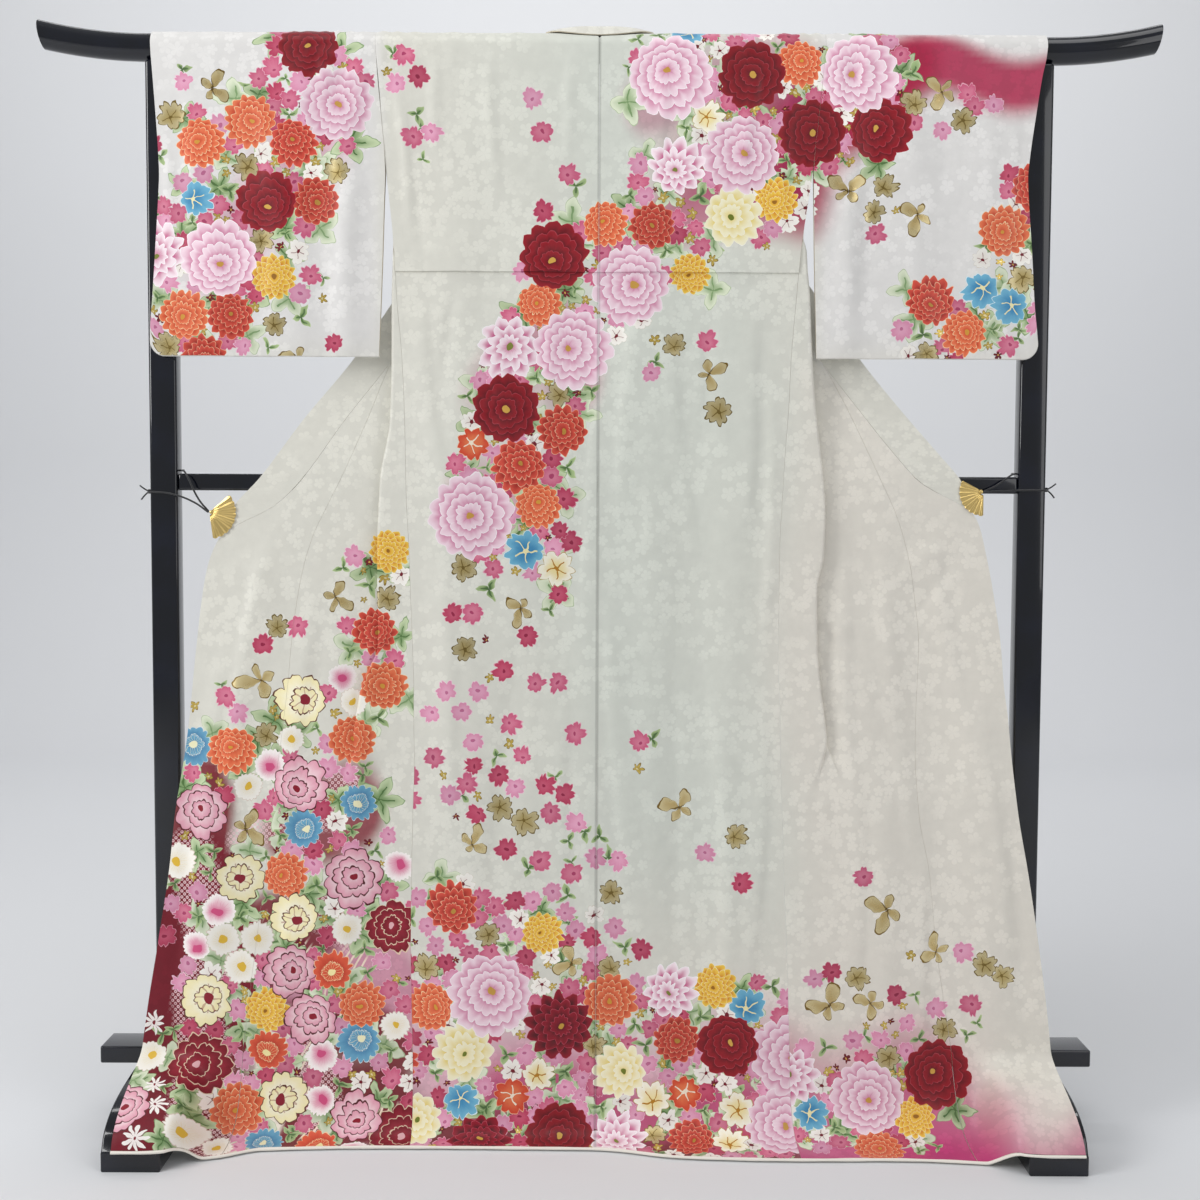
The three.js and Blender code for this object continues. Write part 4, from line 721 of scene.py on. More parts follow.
# Runs of wavy lines on the dyed front: from, to, half breadth and softness in mm.
RIPPLED = ((-360, 260, -440, 60, 20, 6), (-300, 30, -420, 10, 16, 6), (-470, 320, -420, 240, 18, 6))
GROUND = {"cream": "#e0ded3", "sage": "#d7dbd1", "ivory": "#e4dfd4", "silver": "#e5e3e0"}
PRINT_SEED = 5709
DRAW = random.Random(PRINT_SEED)
STAMPS = 5  # motifs that may overlap at one place
STAMP_MARGIN = 8.5 * MM  # how far past its petals a motif is kept for a face


def spread_out(table_row):
    """A place in a spray, thicker towards its middle line."""
    x0, z0, x1, z1, spread = (v * MM for v in table_row)
    run, aside = DRAW.random(), (DRAW.random() + DRAW.random() + DRAW.random()) * 2 / 3 - 1
    length = math.hypot(x1 - x0, z1 - z0)
    across, up = (x1 - x0) / length, (z1 - z0) / length
    end = (DRAW.random() - 0.5) * spread
    off = aside * spread * 1.5
    return x0 + run * (x1 - x0) + off * up + end * across, z0 + run * (z1 - z0) - off * across + end * up


def lay_out_print():
    """Every motif as (across, length, radius, turn, kind, shade), the one on top first."""
    placed = []

    def put(name, radius, x, v, room):
        if all((x - p[0]) ** 2 + (v - p[1]) ** 2 > (room * (radius + p[2])) ** 2 for p in placed):
            placed.append((x, v, radius, DRAW.uniform(0, 2 * math.pi), KIND[name], DRAW.random()))
            return True
        return False

    jobs = [(spray, kinds, count) for spray in SPRAYS for kinds, count in spray[6]]
    jobs.sort(key=lambda job: -max(MOTIFS[KIND[name]][15] for name in job[1]))
    for spray, kinds, count in jobs:
        room = 0.7 if kinds is BLOSSOMS else 0.84
        for k in range(count):
            name = kinds[k % len(kinds)]
            motif = MOTIFS[KIND[name]]
            radius = DRAW.uniform(motif[14], motif[15]) * MM
            for _ in range(30):
                x, z = spread_out(spray[1:6])
                if put(name, radius, x, z if spray[0] == "back" else OVER_TOP - z, room):
                    break
    for x, v, radius, _, kind, _ in list(placed):
        name = MOTIFS[kind][0]
        leaves = (2 if radius > 24 * MM else DRAW.random() < 0.25) * (name not in GOLDS + LEAVES + SPRIGS)
        for _ in range(leaves):
            leaf = LEAVES[DRAW.randrange(2)] if radius > 24 * MM else "sprig"
            size = DRAW.uniform(*MOTIFS[KIND[leaf]][14:16]) * MM
            away, angle = 0.9 * radius + 0.25 * size, DRAW.uniform(0, 2 * math.pi)
            turn = DRAW.uniform(0, 2 * math.pi)
            place = (x + away * math.cos(angle), v + away * math.sin(angle))
            placed.append((*place, size, turn, KIND[leaf], DRAW.random()))
    return placed


def on_band(x, z, row):
    """How strongly a brushed band covers places: 1 inside its half breadth, fading over its softness."""
    x0, z0, x1, z1, breadth, soft = (v * MM for v in row)
    length = math.hypot(x1 - x0, z1 - z0)
    run = np.clip(((x - x0) * (x1 - x0) + (z - z0) * (z1 - z0)) / length**2, 0, 1)
    away = np.hypot(x - x0 - run * (x1 - x0), z - z0 - run * (z1 - z0))
    return 1 - ease(away, breadth - soft / 4, breadth + soft)


def ground_colours(flat):
    """The cloth's own colour with its clouds of dye, and where the tied dots are."""
    x, down = flat[:, 0], flat[:, 1]
    before = down < OVER_TOP / 2
    z = np.where(before, down, OVER_TOP - down)
    wave = 0.03 * np.sin(9 * z + 5 * x) + 0.02 * np.sin(23 * x)
    colour = np.tile(linear(GROUND["cream"]), (len(x), 1))
    for name, weight in (
        ("sage", 0.9 * np.exp(-(((x - 0.06 + wave) / 0.2) ** 2)) * ease(z, 0.15, 0.5)),
        ("ivory", ease(x + wave, 0.22, 0.36) * (1 - ease(z, 1.1, 1.2))),
        ("silver", ease(np.abs(x), 0.3, 0.34) * (x > COLLAR_ASIDE / 2) * ease(z, 1.1, 1.2)),
    ):
        colour = mix(colour, np.array(linear(GROUND[name])), weight[:, None])
    for layer, *row, code, strength in DYES:
        cover = on_band(x + wave, z + wave, row) * strength * (before == (layer == "back"))
        colour = mix(colour, np.array(linear(code)), cover[:, None])
    patterns = []
    for table in (DOTTED, RIPPLED):
        cover = np.zeros(len(x))
        for row in table:
            cover = np.maximum(cover, on_band(x, z, row) * ~before)
        patterns.append(cover)
    return colour, patterns


def stamp(mesh, centres, motifs):
    """Gives every face the few motifs that reach it, topmost first: their place, kind, size and turn."""
    where = np.zeros((STAMPS, len(centres), 3), np.float32)
    turned = np.zeros((STAMPS, len(centres), 3), np.float32)
    where[..., :2] = 9.0
    where[..., 2] = 0.5 / MOTIF_SLOTS
    turned[..., 0] = 1.0
    used = np.zeros(len(centres), int)
    for x, v, radius, angle, kind, shade in motifs:
        near = np.hypot(centres[:, 0] - x, centres[:, 1] - v) < radius + STAMP_MARGIN
        near &= used < STAMPS
        faces = np.nonzero(near)[0]
        where[used[faces], faces] = (x, v, (kind + 0.5) / MOTIF_SLOTS)
        turned[used[faces], faces] = (math.cos(angle) / radius, math.sin(angle) / radius, shade)
        used[faces] += 1
    mesh.polygons.foreach_set("material_index", used.astype(np.int32))
    for k in range(STAMPS):
        for name, values in ((f"motif_place_{k}", where[k]), (f"motif_turn_{k}", turned[k])):
            layer = mesh.attributes.new(name, "FLOAT_VECTOR", "FACE")
            layer.data.foreach_set("vector", values.ravel())


# -------------------- cloth meshes
def cloth_piece(name, grid, outward, closed=False):
    """A thin printed shell on a grid of points; outward is the sign of the printed side."""
    points, flat = grid
    rows, columns = points.shape[:2]
    index = np.arange(rows * columns).reshape(rows, columns)
    if closed:
        index = np.concatenate([index, index[:1]])
        flat = np.concatenate([flat, flat[-1:] + np.array([0, 2 * MM])])
    here, there = slice(None, -1), slice(1, None)
    corners = [(here, here), (here, there), (there, there), (there, here)][::outward]
    faces = np.stack([index[c] for c in corners], axis=-1).reshape(-1, 4)
    lengths = np.stack([flat[c] for c in corners], axis=2).reshape(-1, 4, 2)
    mesh = bpy.data.meshes.new(name)
    vertices = points.reshape(-1, 3) + np.array([0, SETBACK, 0])
    mesh.from_pydata(vertices.tolist(), [], faces.tolist())
    layer = mesh.uv_layers.new(name="cloth")
    layer.data.foreach_set("uv", lengths.reshape(-1).astype(np.float32))
    colour, patterns = ground_colours(flat[:rows].reshape(-1, 2))
    tint = mesh.attributes.new("ground", "FLOAT_COLOR", "POINT")
    opaque = np.concatenate([colour, np.ones((len(colour), 1))], axis=1)
    tint.data.foreach_set("color", opaque.astype(np.float32).ravel())
    for pattern, cover in zip(("dots", "ripples"), patterns):
        spots = mesh.attributes.new(pattern, "FLOAT", "POINT")
        spots.data.foreach_set("value", cover.astype(np.float32))
    stamp(mesh, lengths.mean(axis=1), PRINT)
    piece = bpy.data.objects.new(name, mesh)
    bpy.context.scene.collection.objects.link(piece)
    return piece


def deselect():
    """Leaves nothing selected, since operators act on all that is."""
    bpy.ops.object.select_all(action="DESELECT")


def only(piece):
    """Deselects everything else, so that operators act on one piece."""
    deselect()
    piece.select_set(True)
    bpy.context.view_layer.objects.active = piece


def apply_modifiers(piece):
    only(piece)
    for modifier in list(piece.modifiers):
        bpy.ops.object.modifier_apply(modifier=modifier.name)


def lined(piece, thickness, finishes):
    """Gives a sheet its thickness: printed silk outside, and the last of the finishes inside."""
    indices = np.zeros(len(piece.data.polygons), np.int32)
    piece.data.polygons.foreach_get("material_index", indices)
    for material in finishes:
        piece.data.materials.append(material)
    piece.data.polygons.foreach_set("material_index", indices)
    shell = piece.modifiers.new("thickness", "SOLIDIFY")
    shell.thickness, shell.offset = thickness, 0
    shell.material_offset = shell.material_offset_rim = len(finishes)
    apply_modifiers(piece)
    bpy.ops.object.shade_smooth_by_angle(angle=math.radians(50))
    return piece


def face_out(piece, merge=0.0):
    """Turns every face of a piece outwards, once points closer than merge are made one."""
    only(piece)
    bpy.ops.object.mode_set(mode="EDIT")
    bpy.ops.mesh.select_all(action="SELECT")
    if merge:
        bpy.ops.mesh.remove_doubles(threshold=merge)
    bpy.ops.mesh.normals_make_consistent(inside=False)
    bpy.ops.object.mode_set(mode="OBJECT")


def dressed(piece, degrees, material):
    """Shades a piece smooth, but for edges sharper than an angle, and gives it its material."""
    bpy.ops.object.shade_smooth_by_angle(angle=math.radians(degrees))
    piece.data.materials.append(material)
    return piece


def belongs(piece, node):
    """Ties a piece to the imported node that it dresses."""
    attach(piece, "root")
    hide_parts(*node)
    return piece


# -------------------- materials
class Tree:
    """Short ways of adding nodes to a material or a node group."""

    def __init__(self, tree):
        self.tree = tree

    def node(self, kind, **settings):
        made = self.tree.nodes.new(kind)
        for key, value in settings.items():
            setattr(made, key, value)
        return made

    def wire(self, value, socket):
        if isinstance(value, bpy.types.NodeSocket):
            self.tree.links.new(value, socket)
        elif value is not None:
            socket.default_value = value

    def math(self, operation, *values):
        made = self.node("ShaderNodeMath", operation=operation)
        for value, socket in zip(values, made.inputs):
            self.wire(value, socket)
        return made.outputs[0]

    def plus(self, a, b):
        return self.math("ADD", a, b)

    def minus(self, a, b):
        return self.math("SUBTRACT", a, b)

    def times(self, a, b):
        return self.math("MULTIPLY", a, b)

    def over(self, a, b):
        return self.math("DIVIDE", a, b)

    def length(self, x, y):
        return self.math("SQRT", self.plus(self.times(x, x), self.times(y, y)))

    def vector(self, operation, *values):
        made = self.node("ShaderNodeVectorMath", operation=operation)
        for value, socket in zip(values, made.inputs):
            self.wire(value, socket)
        return made.outputs[1 if operation in ("LENGTH", "DISTANCE", "DOT_PRODUCT") else 0]

    def blend(self, factor, a, b, mode="MIX"):
        made = self.node("ShaderNodeMix", data_type="RGBA", blend_type=mode)
        for value, key in ((factor, 0), (a, 6), (b, 7)):
            self.wire(value, made.inputs[key])
        return made.outputs[2]

    def blend_number(self, factor, a, b):
        made = self.node("ShaderNodeMix", data_type="FLOAT")
        for value, key in ((factor, 0), (a, 2), (b, 3)):
            self.wire(value, made.inputs[key])
        return made.outputs[0]

    def step(self, value, low, high):
        made = self.node("ShaderNodeMapRange", interpolation_type="SMOOTHSTEP")
        self.wire(value, made.inputs["Value"])
        made.inputs["From Min"].default_value, made.inputs["From Max"].default_value = low, high
        return made.outputs["Result"]

    def parts(self, vector):
        made = self.node("ShaderNodeSeparateXYZ")
        self.wire(vector, made.inputs[0])
        return made.outputs

    def grey(self, value):
        made = self.node("ShaderNodeCombineColor")
        for socket in made.inputs:
            self.wire(value, socket)
        return made.outputs[0]

    def shaded(self, colour, value):
        """A colour made lighter or darker by a number."""
        return self.blend(1.0, colour, self.grey(value), "MULTIPLY")

    def object_place(self):
        return self.node("ShaderNodeTexCoord").outputs["Object"]

    def attribute(self, name, output):
        return self.node("ShaderNodeAttribute", attribute_name=name).outputs[output]

    def noise(self, place, scale, detail=2.0, roughness=0.5):
        made = self.node("ShaderNodeTexNoise")
        self.wire(place, made.inputs["Vector"])
        made.inputs["Scale"].default_value = scale
        made.inputs["Detail"].default_value = detail
        made.inputs["Roughness"].default_value = roughness
        return made.outputs["Fac"]

    def bump(self, height, strength, distance, normal=None):
        made = self.node("ShaderNodeBump")
        made.inputs["Strength"].default_value = strength
        made.inputs["Distance"].default_value = distance
        self.wire(height, made.inputs["Height"])
        self.wire(normal, made.inputs["Normal"])
        return made.outputs["Normal"]

    def chart(self, place, colours):
        """Looks up one of a row of colours by a number from 0 to 1."""
        made = self.node("ShaderNodeValToRGB")
        ramp = made.color_ramp
        ramp.interpolation = "CONSTANT"
        while len(ramp.elements) < len(colours):
            ramp.elements.new(0.99)
        for k, colour in enumerate(colours):
            ramp.elements[k].position = k / MOTIF_SLOTS
            ramp.elements[k].color = (*colour, 1)
        self.wire(place, made.inputs[0])
        return made.outputs[0]


def finish(name, base=(0.5, 0.5, 0.5), roughness=0.5, **fixed):
    """A new material, its Tree and its shader; fixed values go straight on the shader's sockets."""
    material = bpy.data.materials.new(name)
    material.use_nodes = True
    tree = Tree(material.node_tree)
    shader = material.node_tree.nodes["Principled BSDF"]
    shader.inputs["Base Color"].default_value = (*base, 1)
    shader.inputs["Roughness"].default_value = roughness
    for key, value in fixed.items():
        shader.inputs[key.replace("_", " ")].default_value = value
    return material, tree, shader


MOST_PETALS, SHARPEST, MOST_RINGS = 24, 4, 4  # a chart holds numbers up to 1, so these divide them
GROUP_SOCKETS = (
    ("Beneath", "Color", "INPUT"), ("Foil beneath", "Float", "INPUT"), ("Cloth", "Vector", "INPUT"),
    ("Place", "Vector", "INPUT"), ("Turn", "Vector", "INPUT"), ("Colour", "Color", "OUTPUT"),
    ("Foil", "Float", "OUTPUT"),
)
# A butterfly's fore and hind wings: middle and half breadth as shares of a half turn, and reach.
WINGS = ((0.21, 0.25, 1.0), (-0.24, 0.24, 0.66))


def motif_numbers(tree, kind):
    """A motif's numbers by name, looked up three at a time as the parts of a colour."""
    names = (
        "petals", "valley", "power", "notch", "rim", "stamens", "last_even", "last_odd", "pitch", "eye",
        "foil", "winged",
    )
    rows = [
        (m[1] / MOST_PETALS, m[2], m[3] / SHARPEST, m[4], m[6], m[7], (m[5] - 1) // 2 / MOST_RINGS,
         m[5] // 2 / MOST_RINGS, 0.9 / m[5], m[8], m[9], m[0] == "gold_butterfly")
        for m in MOTIFS
    ]
    found = {}
    for first in range(0, len(names), 3):
        looked_up = tree.chart(kind, [row[first : first + 3] for row in rows])
        found.update(zip(names[first:], tree.parts(looked_up)))
    found["petals"] = tree.times(found["petals"], MOST_PETALS)
    found["power"] = tree.times(found["power"], SHARPEST)
    return found


def motif_place(tree, cloth, place, turn):
    """A place on the cloth as seen from a motif's middle, in its radii; the motif leans a little."""
    dx, dy = tree.minus(cloth[0], place[0]), tree.minus(cloth[1], place[1])
    x = tree.plus(tree.times(dx, turn[0]), tree.times(dy, turn[1]))
    y = tree.minus(tree.times(dy, turn[0]), tree.times(dx, turn[1]))
    nearer = tree.math("MAXIMUM", tree.minus(1.0, tree.length(x, y)), 0.0)
    return tree.minus(x, tree.times(tree.times(turn[2], nearer), 0.3)), y


def petal_ring(tree, shape, turned, out, phase):
    """How far out a point is among petals of full reach, and how far from a petal's own middle line."""
    share = tree.math("FRACT", tree.plus(tree.times(turned, shape["petals"]), phase))
    aside = tree.times(tree.math("ABSOLUTE", tree.minus(share, 0.5)), 2.0)
    cut = tree.math("MAXIMUM", tree.minus(1.0, tree.times(aside, 3.6)), 0.0)
    reach = tree.minus(1.0, tree.times(tree.math("POWER", aside, shape["power"]), shape["valley"]))
    reach = tree.math("MAXIMUM", tree.minus(reach, tree.times(cut, shape["notch"])), 0.001)
    return tree.over(out, reach), aside


def wing_reach(tree, x, y):
    """How far a butterfly's wings reach towards a point."""
    half_turn = tree.over(tree.math("ARCTAN2", y, tree.math("ABSOLUTE", x)), math.pi)
    reaches = []
    for middle, breadth, reach in WINGS:
        away = tree.over(tree.minus(half_turn, middle), breadth)
        reaches.append(tree.times(tree.minus(1.0, tree.times(away, away)), reach))
    return tree.math("MAXIMUM", tree.math("MAXIMUM", *reaches), 0.02)


def top_ring(tree, shape, far_even, far_odd):
    """The innermost ring that covers a point, and whether it is one of those between the even ones."""
    two = tree.times(shape["pitch"], 2.0)
    even = tree.math("FLOOR", tree.over(tree.minus(1.0, far_even), two))
    odd = tree.math("FLOOR", tree.over(tree.minus(tree.minus(1.0, shape["pitch"]), far_odd), two))
    even = tree.times(tree.math("MINIMUM", even, tree.times(shape["last_even"], MOST_RINGS)), 2.0)
    odd = tree.math("MINIMUM", odd, tree.minus(tree.times(shape["last_odd"], MOST_RINGS), 1.0))
    odd = tree.plus(tree.times(odd, 2.0), 1.0)
    return tree.math("MAXIMUM", even, odd), tree.math("GREATER_THAN", odd, even)


def petal_colour(tree, kind, shape, out, aside, inward):
    """Petals from tip to root with their folds and rims, then the stamens' lines and the eye."""
    tip, root, rim, eye = (tree.chart(kind, [linear(m[k]) for m in MOTIFS]) for k in (10, 11, 12, 13))
    run = tree.over(inward, tree.math("MINIMUM", tree.times(shape["pitch"], 1.5), 0.8))
    petal = tree.blend(tree.step(run, 0.05, 1.0), tip, root)
    fold = tree.times(tree.step(aside, 0.6, 1.0), tree.times(tree.step(run, 0.1, 0.6), 0.6))
    petal = tree.blend(fold, petal, root)
    petal = tree.blend(tree.math("LESS_THAN", inward, shape["rim"]), petal, rim)
    line = tree.math("LESS_THAN", aside, tree.over(0.05, tree.math("MAXIMUM", out, 0.15)))
    vein = tree.times(line, tree.math("LESS_THAN", out, 0.56))
    petal = tree.blend(tree.times(vein, shape["stamens"]), petal, eye)
    return tree.blend(tree.math("LESS_THAN", out, shape["eye"]), petal, eye)


def motif_group():
    """One printed motif laid over the colour beneath it: rings of petals, a rim, an eye and stamens."""
    group = bpy.data.node_groups.new("printed motif", "ShaderNodeTree")
    for name, kind, way in GROUP_SOCKETS:
        group.interface.new_socket(name, in_out=way, socket_type=f"NodeSocket{kind}")
    tree = Tree(group)
    given = group.nodes.new("NodeGroupInput").outputs
    cloth, place, turn = (tree.parts(given[name]) for name in ("Cloth", "Place", "Turn"))
    x, y = motif_place(tree, cloth, place, turn)
    out = tree.length(x, y)
    turned = tree.over(tree.math("ARCTAN2", y, x), 2 * math.pi)
    shape = motif_numbers(tree, place[2])
    far_even, aside_even = petal_ring(tree, shape, turned, out, 0.5)
    far_odd, aside_odd = petal_ring(tree, shape, turned, out, 0.0)
    far_even = tree.blend_number(shape["winged"], far_even, tree.over(out, wing_reach(tree, x, y)))
    ring, on_odd = top_ring(tree, shape, far_even, far_odd)
    cover = tree.math("GREATER_THAN", ring, -0.5)
    far = tree.blend_number(on_odd, far_even, far_odd)
    aside = tree.blend_number(on_odd, aside_even, aside_odd)
    inward = tree.minus(tree.minus(1.0, tree.times(ring, shape["pitch"])), far)
    petal = petal_colour(tree, place[2], shape, out, aside, inward)
    petal = tree.shaded(petal, tree.plus(0.88, tree.times(turn[2], 0.2)))
    result = group.nodes.new("NodeGroupOutput")
    tree.wire(tree.blend(cover, given["Beneath"], petal), result.inputs["Colour"])
    tree.wire(tree.blend_number(cover, given["Foil beneath"], shape["foil"]), result.inputs["Foil"])
    return group


def blossom_figure(tree, cloth, scale, shift):
    """Woven blossoms at the points of a loose scatter, each turned its own way."""
    moved = tree.vector("ADD", cloth, (shift, 0.37 * shift, 0))
    scatter = tree.node("ShaderNodeTexVoronoi", voronoi_dimensions="2D", feature="F1")
    tree.wire(moved, scatter.inputs["Vector"])
    scatter.inputs["Scale"].default_value = scale
    scatter.inputs["Randomness"].default_value = 0.75
    away = tree.parts(tree.vector("SUBTRACT", moved, scatter.outputs["Position"]))
    spin = tree.parts(scatter.outputs["Color"])[0]
    angle = tree.plus(tree.over(tree.math("ARCTAN2", away[1], away[0]), 2 * math.pi), spin)
    aside = tree.math("ABSOLUTE", tree.minus(tree.math("FRACT", tree.times(angle, 5.0)), 0.5))
    reach = tree.minus(1.0, tree.times(tree.times(aside, aside), 1.6))
    far = tree.over(tree.times(scatter.outputs["Distance"], 2.4), reach)
    petal = tree.minus(1.0, tree.step(far, 0.86, 1.0))
    return tree.times(petal, tree.minus(1.0, tree.times(tree.step(aside, 0.36, 0.5), 0.7)))


def tied_dots(tree, cloth, ground, dots):
    """Small tied rings in a slanting grid over the dyed ground."""
    lattice = tree.node("ShaderNodeMapping")
    lattice.inputs["Rotation"].default_value[2] = math.radians(45)
    lattice.inputs["Scale"].default_value = (1 / 0.0062,) * 3
    tree.wire(cloth, lattice.inputs["Vector"])
    cell = tree.vector("SUBTRACT", tree.vector("FRACTION", lattice.outputs[0]), (0.5, 0.5, 0.0))
    away = tree.vector("LENGTH", tree.vector("MULTIPLY", cell, (1, 1, 0)))
    ring = tree.minus(tree.step(away, 0.08, 0.18), tree.step(away, 0.34, 0.44))
    return tree.blend(tree.times(ring, dots), ground, (*linear("#e9c3c6"), 1))


def ripple_lines(tree, cloth, ground, ripples):
    """Fine pale lines that run like water over the dyed ground."""
    u, v = tree.parts(cloth)[:2]
    bend = tree.times(tree.math("SINE", tree.times(v, 42.0)), 0.006)
    across = tree.plus(tree.plus(u, bend), tree.times(v, 0.45))
    line = tree.step(tree.math("SINE", tree.times(across, 2 * math.pi / 0.0105)), 0.35, 0.75)
    return tree.blend(tree.times(line, ripples), ground, (*linear("#f0dcc8"), 1))


def printed(tree, cloth, colour, motifs):
    """Layers of motifs over a ground colour, their outlines wavering as if drawn by hand, and their foil."""
    group = bpy.data.node_groups.get("printed motif") or motif_group()
    waver = tree.node("ShaderNodeTexNoise", noise_dimensions="2D")
    tree.wire(cloth, waver.inputs["Vector"])
    waver.inputs["Scale"].default_value = 60.0
    waver.inputs["Detail"].default_value = 1.0
    drift = tree.vector("SUBTRACT", waver.outputs["Color"], (0.5, 0.5, 0.5))
    hand = tree.vector("ADD", cloth, tree.vector("MULTIPLY", drift, (0.009, 0.009, 0.0)))
    foil = 0.0
    for k in reversed(range(motifs)):
        use = tree.node("ShaderNodeGroup", node_tree=group)
        place, turn = (tree.attribute(f"motif_{name}_{k}", "Vector") for name in ("place", "turn"))
        for value, socket in zip((colour, foil, hand, place, turn), use.inputs):
            tree.wire(value, socket)
        colour, foil = use.outputs["Colour"], use.outputs["Foil"]
    return colour, foil


def silk_material(name, motifs):
    """Figured silk satin: woven blossoms with painted sheen, brushed dye, tied dots, printed motifs and a fine
    weave.
    """
    material, tree, shader = finish(
        name, roughness=0.46, Sheen_Weight=0.15, Sheen_Roughness=0.4, Specular_IOR_Level=0.4
    )
    cloth = tree.node("ShaderNodeUVMap", uv_map="cloth").outputs[0]
    colour, dots = tree.attribute("ground", "Color"), tree.attribute("dots", "Fac")
    ripples = tree.attribute("ripples", "Fac")
    clusters = tree.step(tree.noise(cloth, 9.0, 2.0), 0.42, 0.56)
    others = tree.step(tree.noise(cloth, 7.0, 2.0), 0.44, 0.58)
    woven = tree.math(
        "MAXIMUM", tree.times(blossom_figure(tree, cloth, 34.0, 0.0), clusters),
        tree.times(blossom_figure(tree, cloth, 47.0, 1.7), others),
    )
    mottle = tree.noise(cloth, 60.0, 4.0, 0.65)
    colour = ripple_lines(tree, cloth, tied_dots(tree, cloth, colour, dots), ripples)
    # Painted sheen: the woven blossoms are made lighter in colour, besides their real lower roughness; the
    # mottle is the cloth's own uneven tone.
    lighter = tree.plus(tree.times(woven, 0.1), tree.times(mottle, 0.12))
    colour = tree.shaded(colour, tree.plus(0.9, lighter))
    # Painted shade: a thin dark line along the centre back seam stands in for the shade in its groove.
    middle = tree.math("ABSOLUTE", tree.parts(cloth)[0])
    seam = tree.minus(1.0, tree.times(tree.minus(1.0, tree.step(middle, 0.0008, 0.0036)), 0.3))
    foil = 0.0
    if motifs:
        colour, foil = printed(tree, cloth, colour, motifs)
        tree.wire(tree.times(foil, 0.5), shader.inputs["Metallic"])
    # The base colour takes the painted seam shade here.
    tree.wire(tree.shaded(colour, seam), shader.inputs["Base Color"])
    rough = tree.plus(tree.times(woven, 0.14), tree.times(foil, 0.16))
    tree.wire(tree.minus(0.52, rough), shader.inputs["Roughness"])
    weave = tree.noise(tree.vector("MULTIPLY", cloth, (1.0, 0.35, 1.0)), 1400.0, 1.0)
    soft = tree.bump(tree.noise(cloth, 22.0, 2.0, 0.6), 0.3, 0.006)
    tree.wire(tree.bump(weave, 0.12, 0.0003, soft), shader.inputs["Normal"])
    return material


def lining_material(name, colour):
    """Plain soft lining silk with a faint cloudiness and weave."""
    material, tree, shader = finish(name, colour, 0.55, Sheen_Weight=0.2, Sheen_Roughness=0.5)
    place = tree.object_place()
    shade = tree.plus(0.95, tree.times(tree.noise(place, 30.0, 3.0), 0.08))
    tree.wire(tree.shaded((*colour, 1), shade), shader.inputs["Base Color"])
    tree.wire(tree.bump(tree.noise(place, 900.0), 0.15, 0.0004), shader.inputs["Normal"])
    return material


def lacquer_material(colour, roughness):
    """Deep black lacquer under a clear polished coat, with the faintest dust and rub marks."""
    polish = {"Coat_Weight": 0.8, "Coat_Roughness": 0.04, "Specular_IOR_Level": 0.2}
    material, tree, shader = finish("black lacquer", colour, roughness, **polish)
    place = tree.object_place()
    cloud = tree.noise(place, 6.0, 3.0)
    tree.wire(tree.plus(roughness - 0.03, tree.times(cloud, 0.08)), shader.inputs["Roughness"])
    lighter = (colour[0] * 1.6, colour[1] * 1.6, colour[2] * 1.9, 1)
    depth = tree.blend(tree.step(tree.noise(place, 14.0, 2.0), 0.4, 0.7), (*colour, 1), lighter)
    tree.wire(depth, shader.inputs["Base Color"])
    tree.wire(tree.bump(tree.noise(place, 40.0, 2.0), 0.05, 0.0006), shader.inputs["Normal"])
    return material


def brass_material(colour):
    """Bright brass, a little dulled in patches and finely brushed."""
    material, tree, shader = finish("brass", colour, 0.24, Metallic=1.0)
    place = tree.object_place()
    worn = tree.noise(place, 90.0, 3.0)
    tree.wire(tree.plus(0.16, tree.times(worn, 0.22)), shader.inputs["Roughness"])
    dull = (colour[0] * 0.6, colour[1] * 0.55, colour[2] * 0.5, 1)
    tree.wire(tree.blend(tree.step(worn, 0.45, 0.75), (*colour, 1), dull), shader.inputs["Base Color"])
    tree.wire(tree.bump(tree.noise(place, 700.0), 0.1, 0.0002), shader.inputs["Normal"])
    return material


def cord_material(colour, turns=2200.0):
    """Black twisted cord: slanting strands along its own length, their crests given a painted highlight."""
    material, tree, shader = finish("twisted cord", colour, 0.62, Sheen_Weight=0.3)
    place = tree.object_place()
    x, y, z = tree.parts(place)[:3]
    slant = tree.plus(tree.plus(x, y), tree.times(z, 1.2))
    strand = tree.math("SINE", tree.times(slant, turns))
    tree.wire(tree.bump(strand, 0.6, 0.0005), shader.inputs["Normal"])
    # Painted highlight: the raised crests of the strands are made lighter in colour.
    lighter = (colour[0] * 3, colour[1] * 3, colour[2] * 3, 1)
    tree.wire(tree.blend(tree.step(strand, 0.3, 1.0), (*colour, 1), lighter), shader.inputs["Base Color"])
    return material


def paper_material(colour):
    """The plain pale studio sweep."""
    material, tree, shader = finish("studio sweep", colour, 0.85, Specular_IOR_Level=0.15)
    place = tree.object_place()
    shade = tree.plus(0.985, tree.times(tree.noise(place, 0.8, 2.0), 0.03))
    tree.wire(tree.shaded((*colour, 1), shade), shader.inputs["Base Color"])
    return material


# -------------------- stand pieces
def settle(piece):
    """Puts a piece's place, turn and size into its mesh."""
    only(piece)
    bpy.ops.object.transform_apply(location=True, rotation=True, scale=True)


def copied(piece, name, shift):
    """A copy with its own mesh, moved across."""
    only(piece)
    bpy.ops.object.duplicate(linked=False)
    twin = bpy.context.object
    twin.name = name
    twin.location.x = shift
    settle(twin)
    return twin


def timber(name, middle, size, corner, material):
    """A squared length of timber with eased edges."""
    deselect()
    bpy.ops.mesh.primitive_cube_add(size=1, location=(middle[0], middle[1] + SETBACK, middle[2]), scale=size)
    piece = bpy.context.object
    piece.name = name
    settle(piece)
    soft = piece.modifiers.new("eased edges", "BEVEL")
    soft.width, soft.segments, soft.limit_method = corner, 5, "ANGLE"
    apply_modifiers(piece)
    return dressed(piece, 35, material)


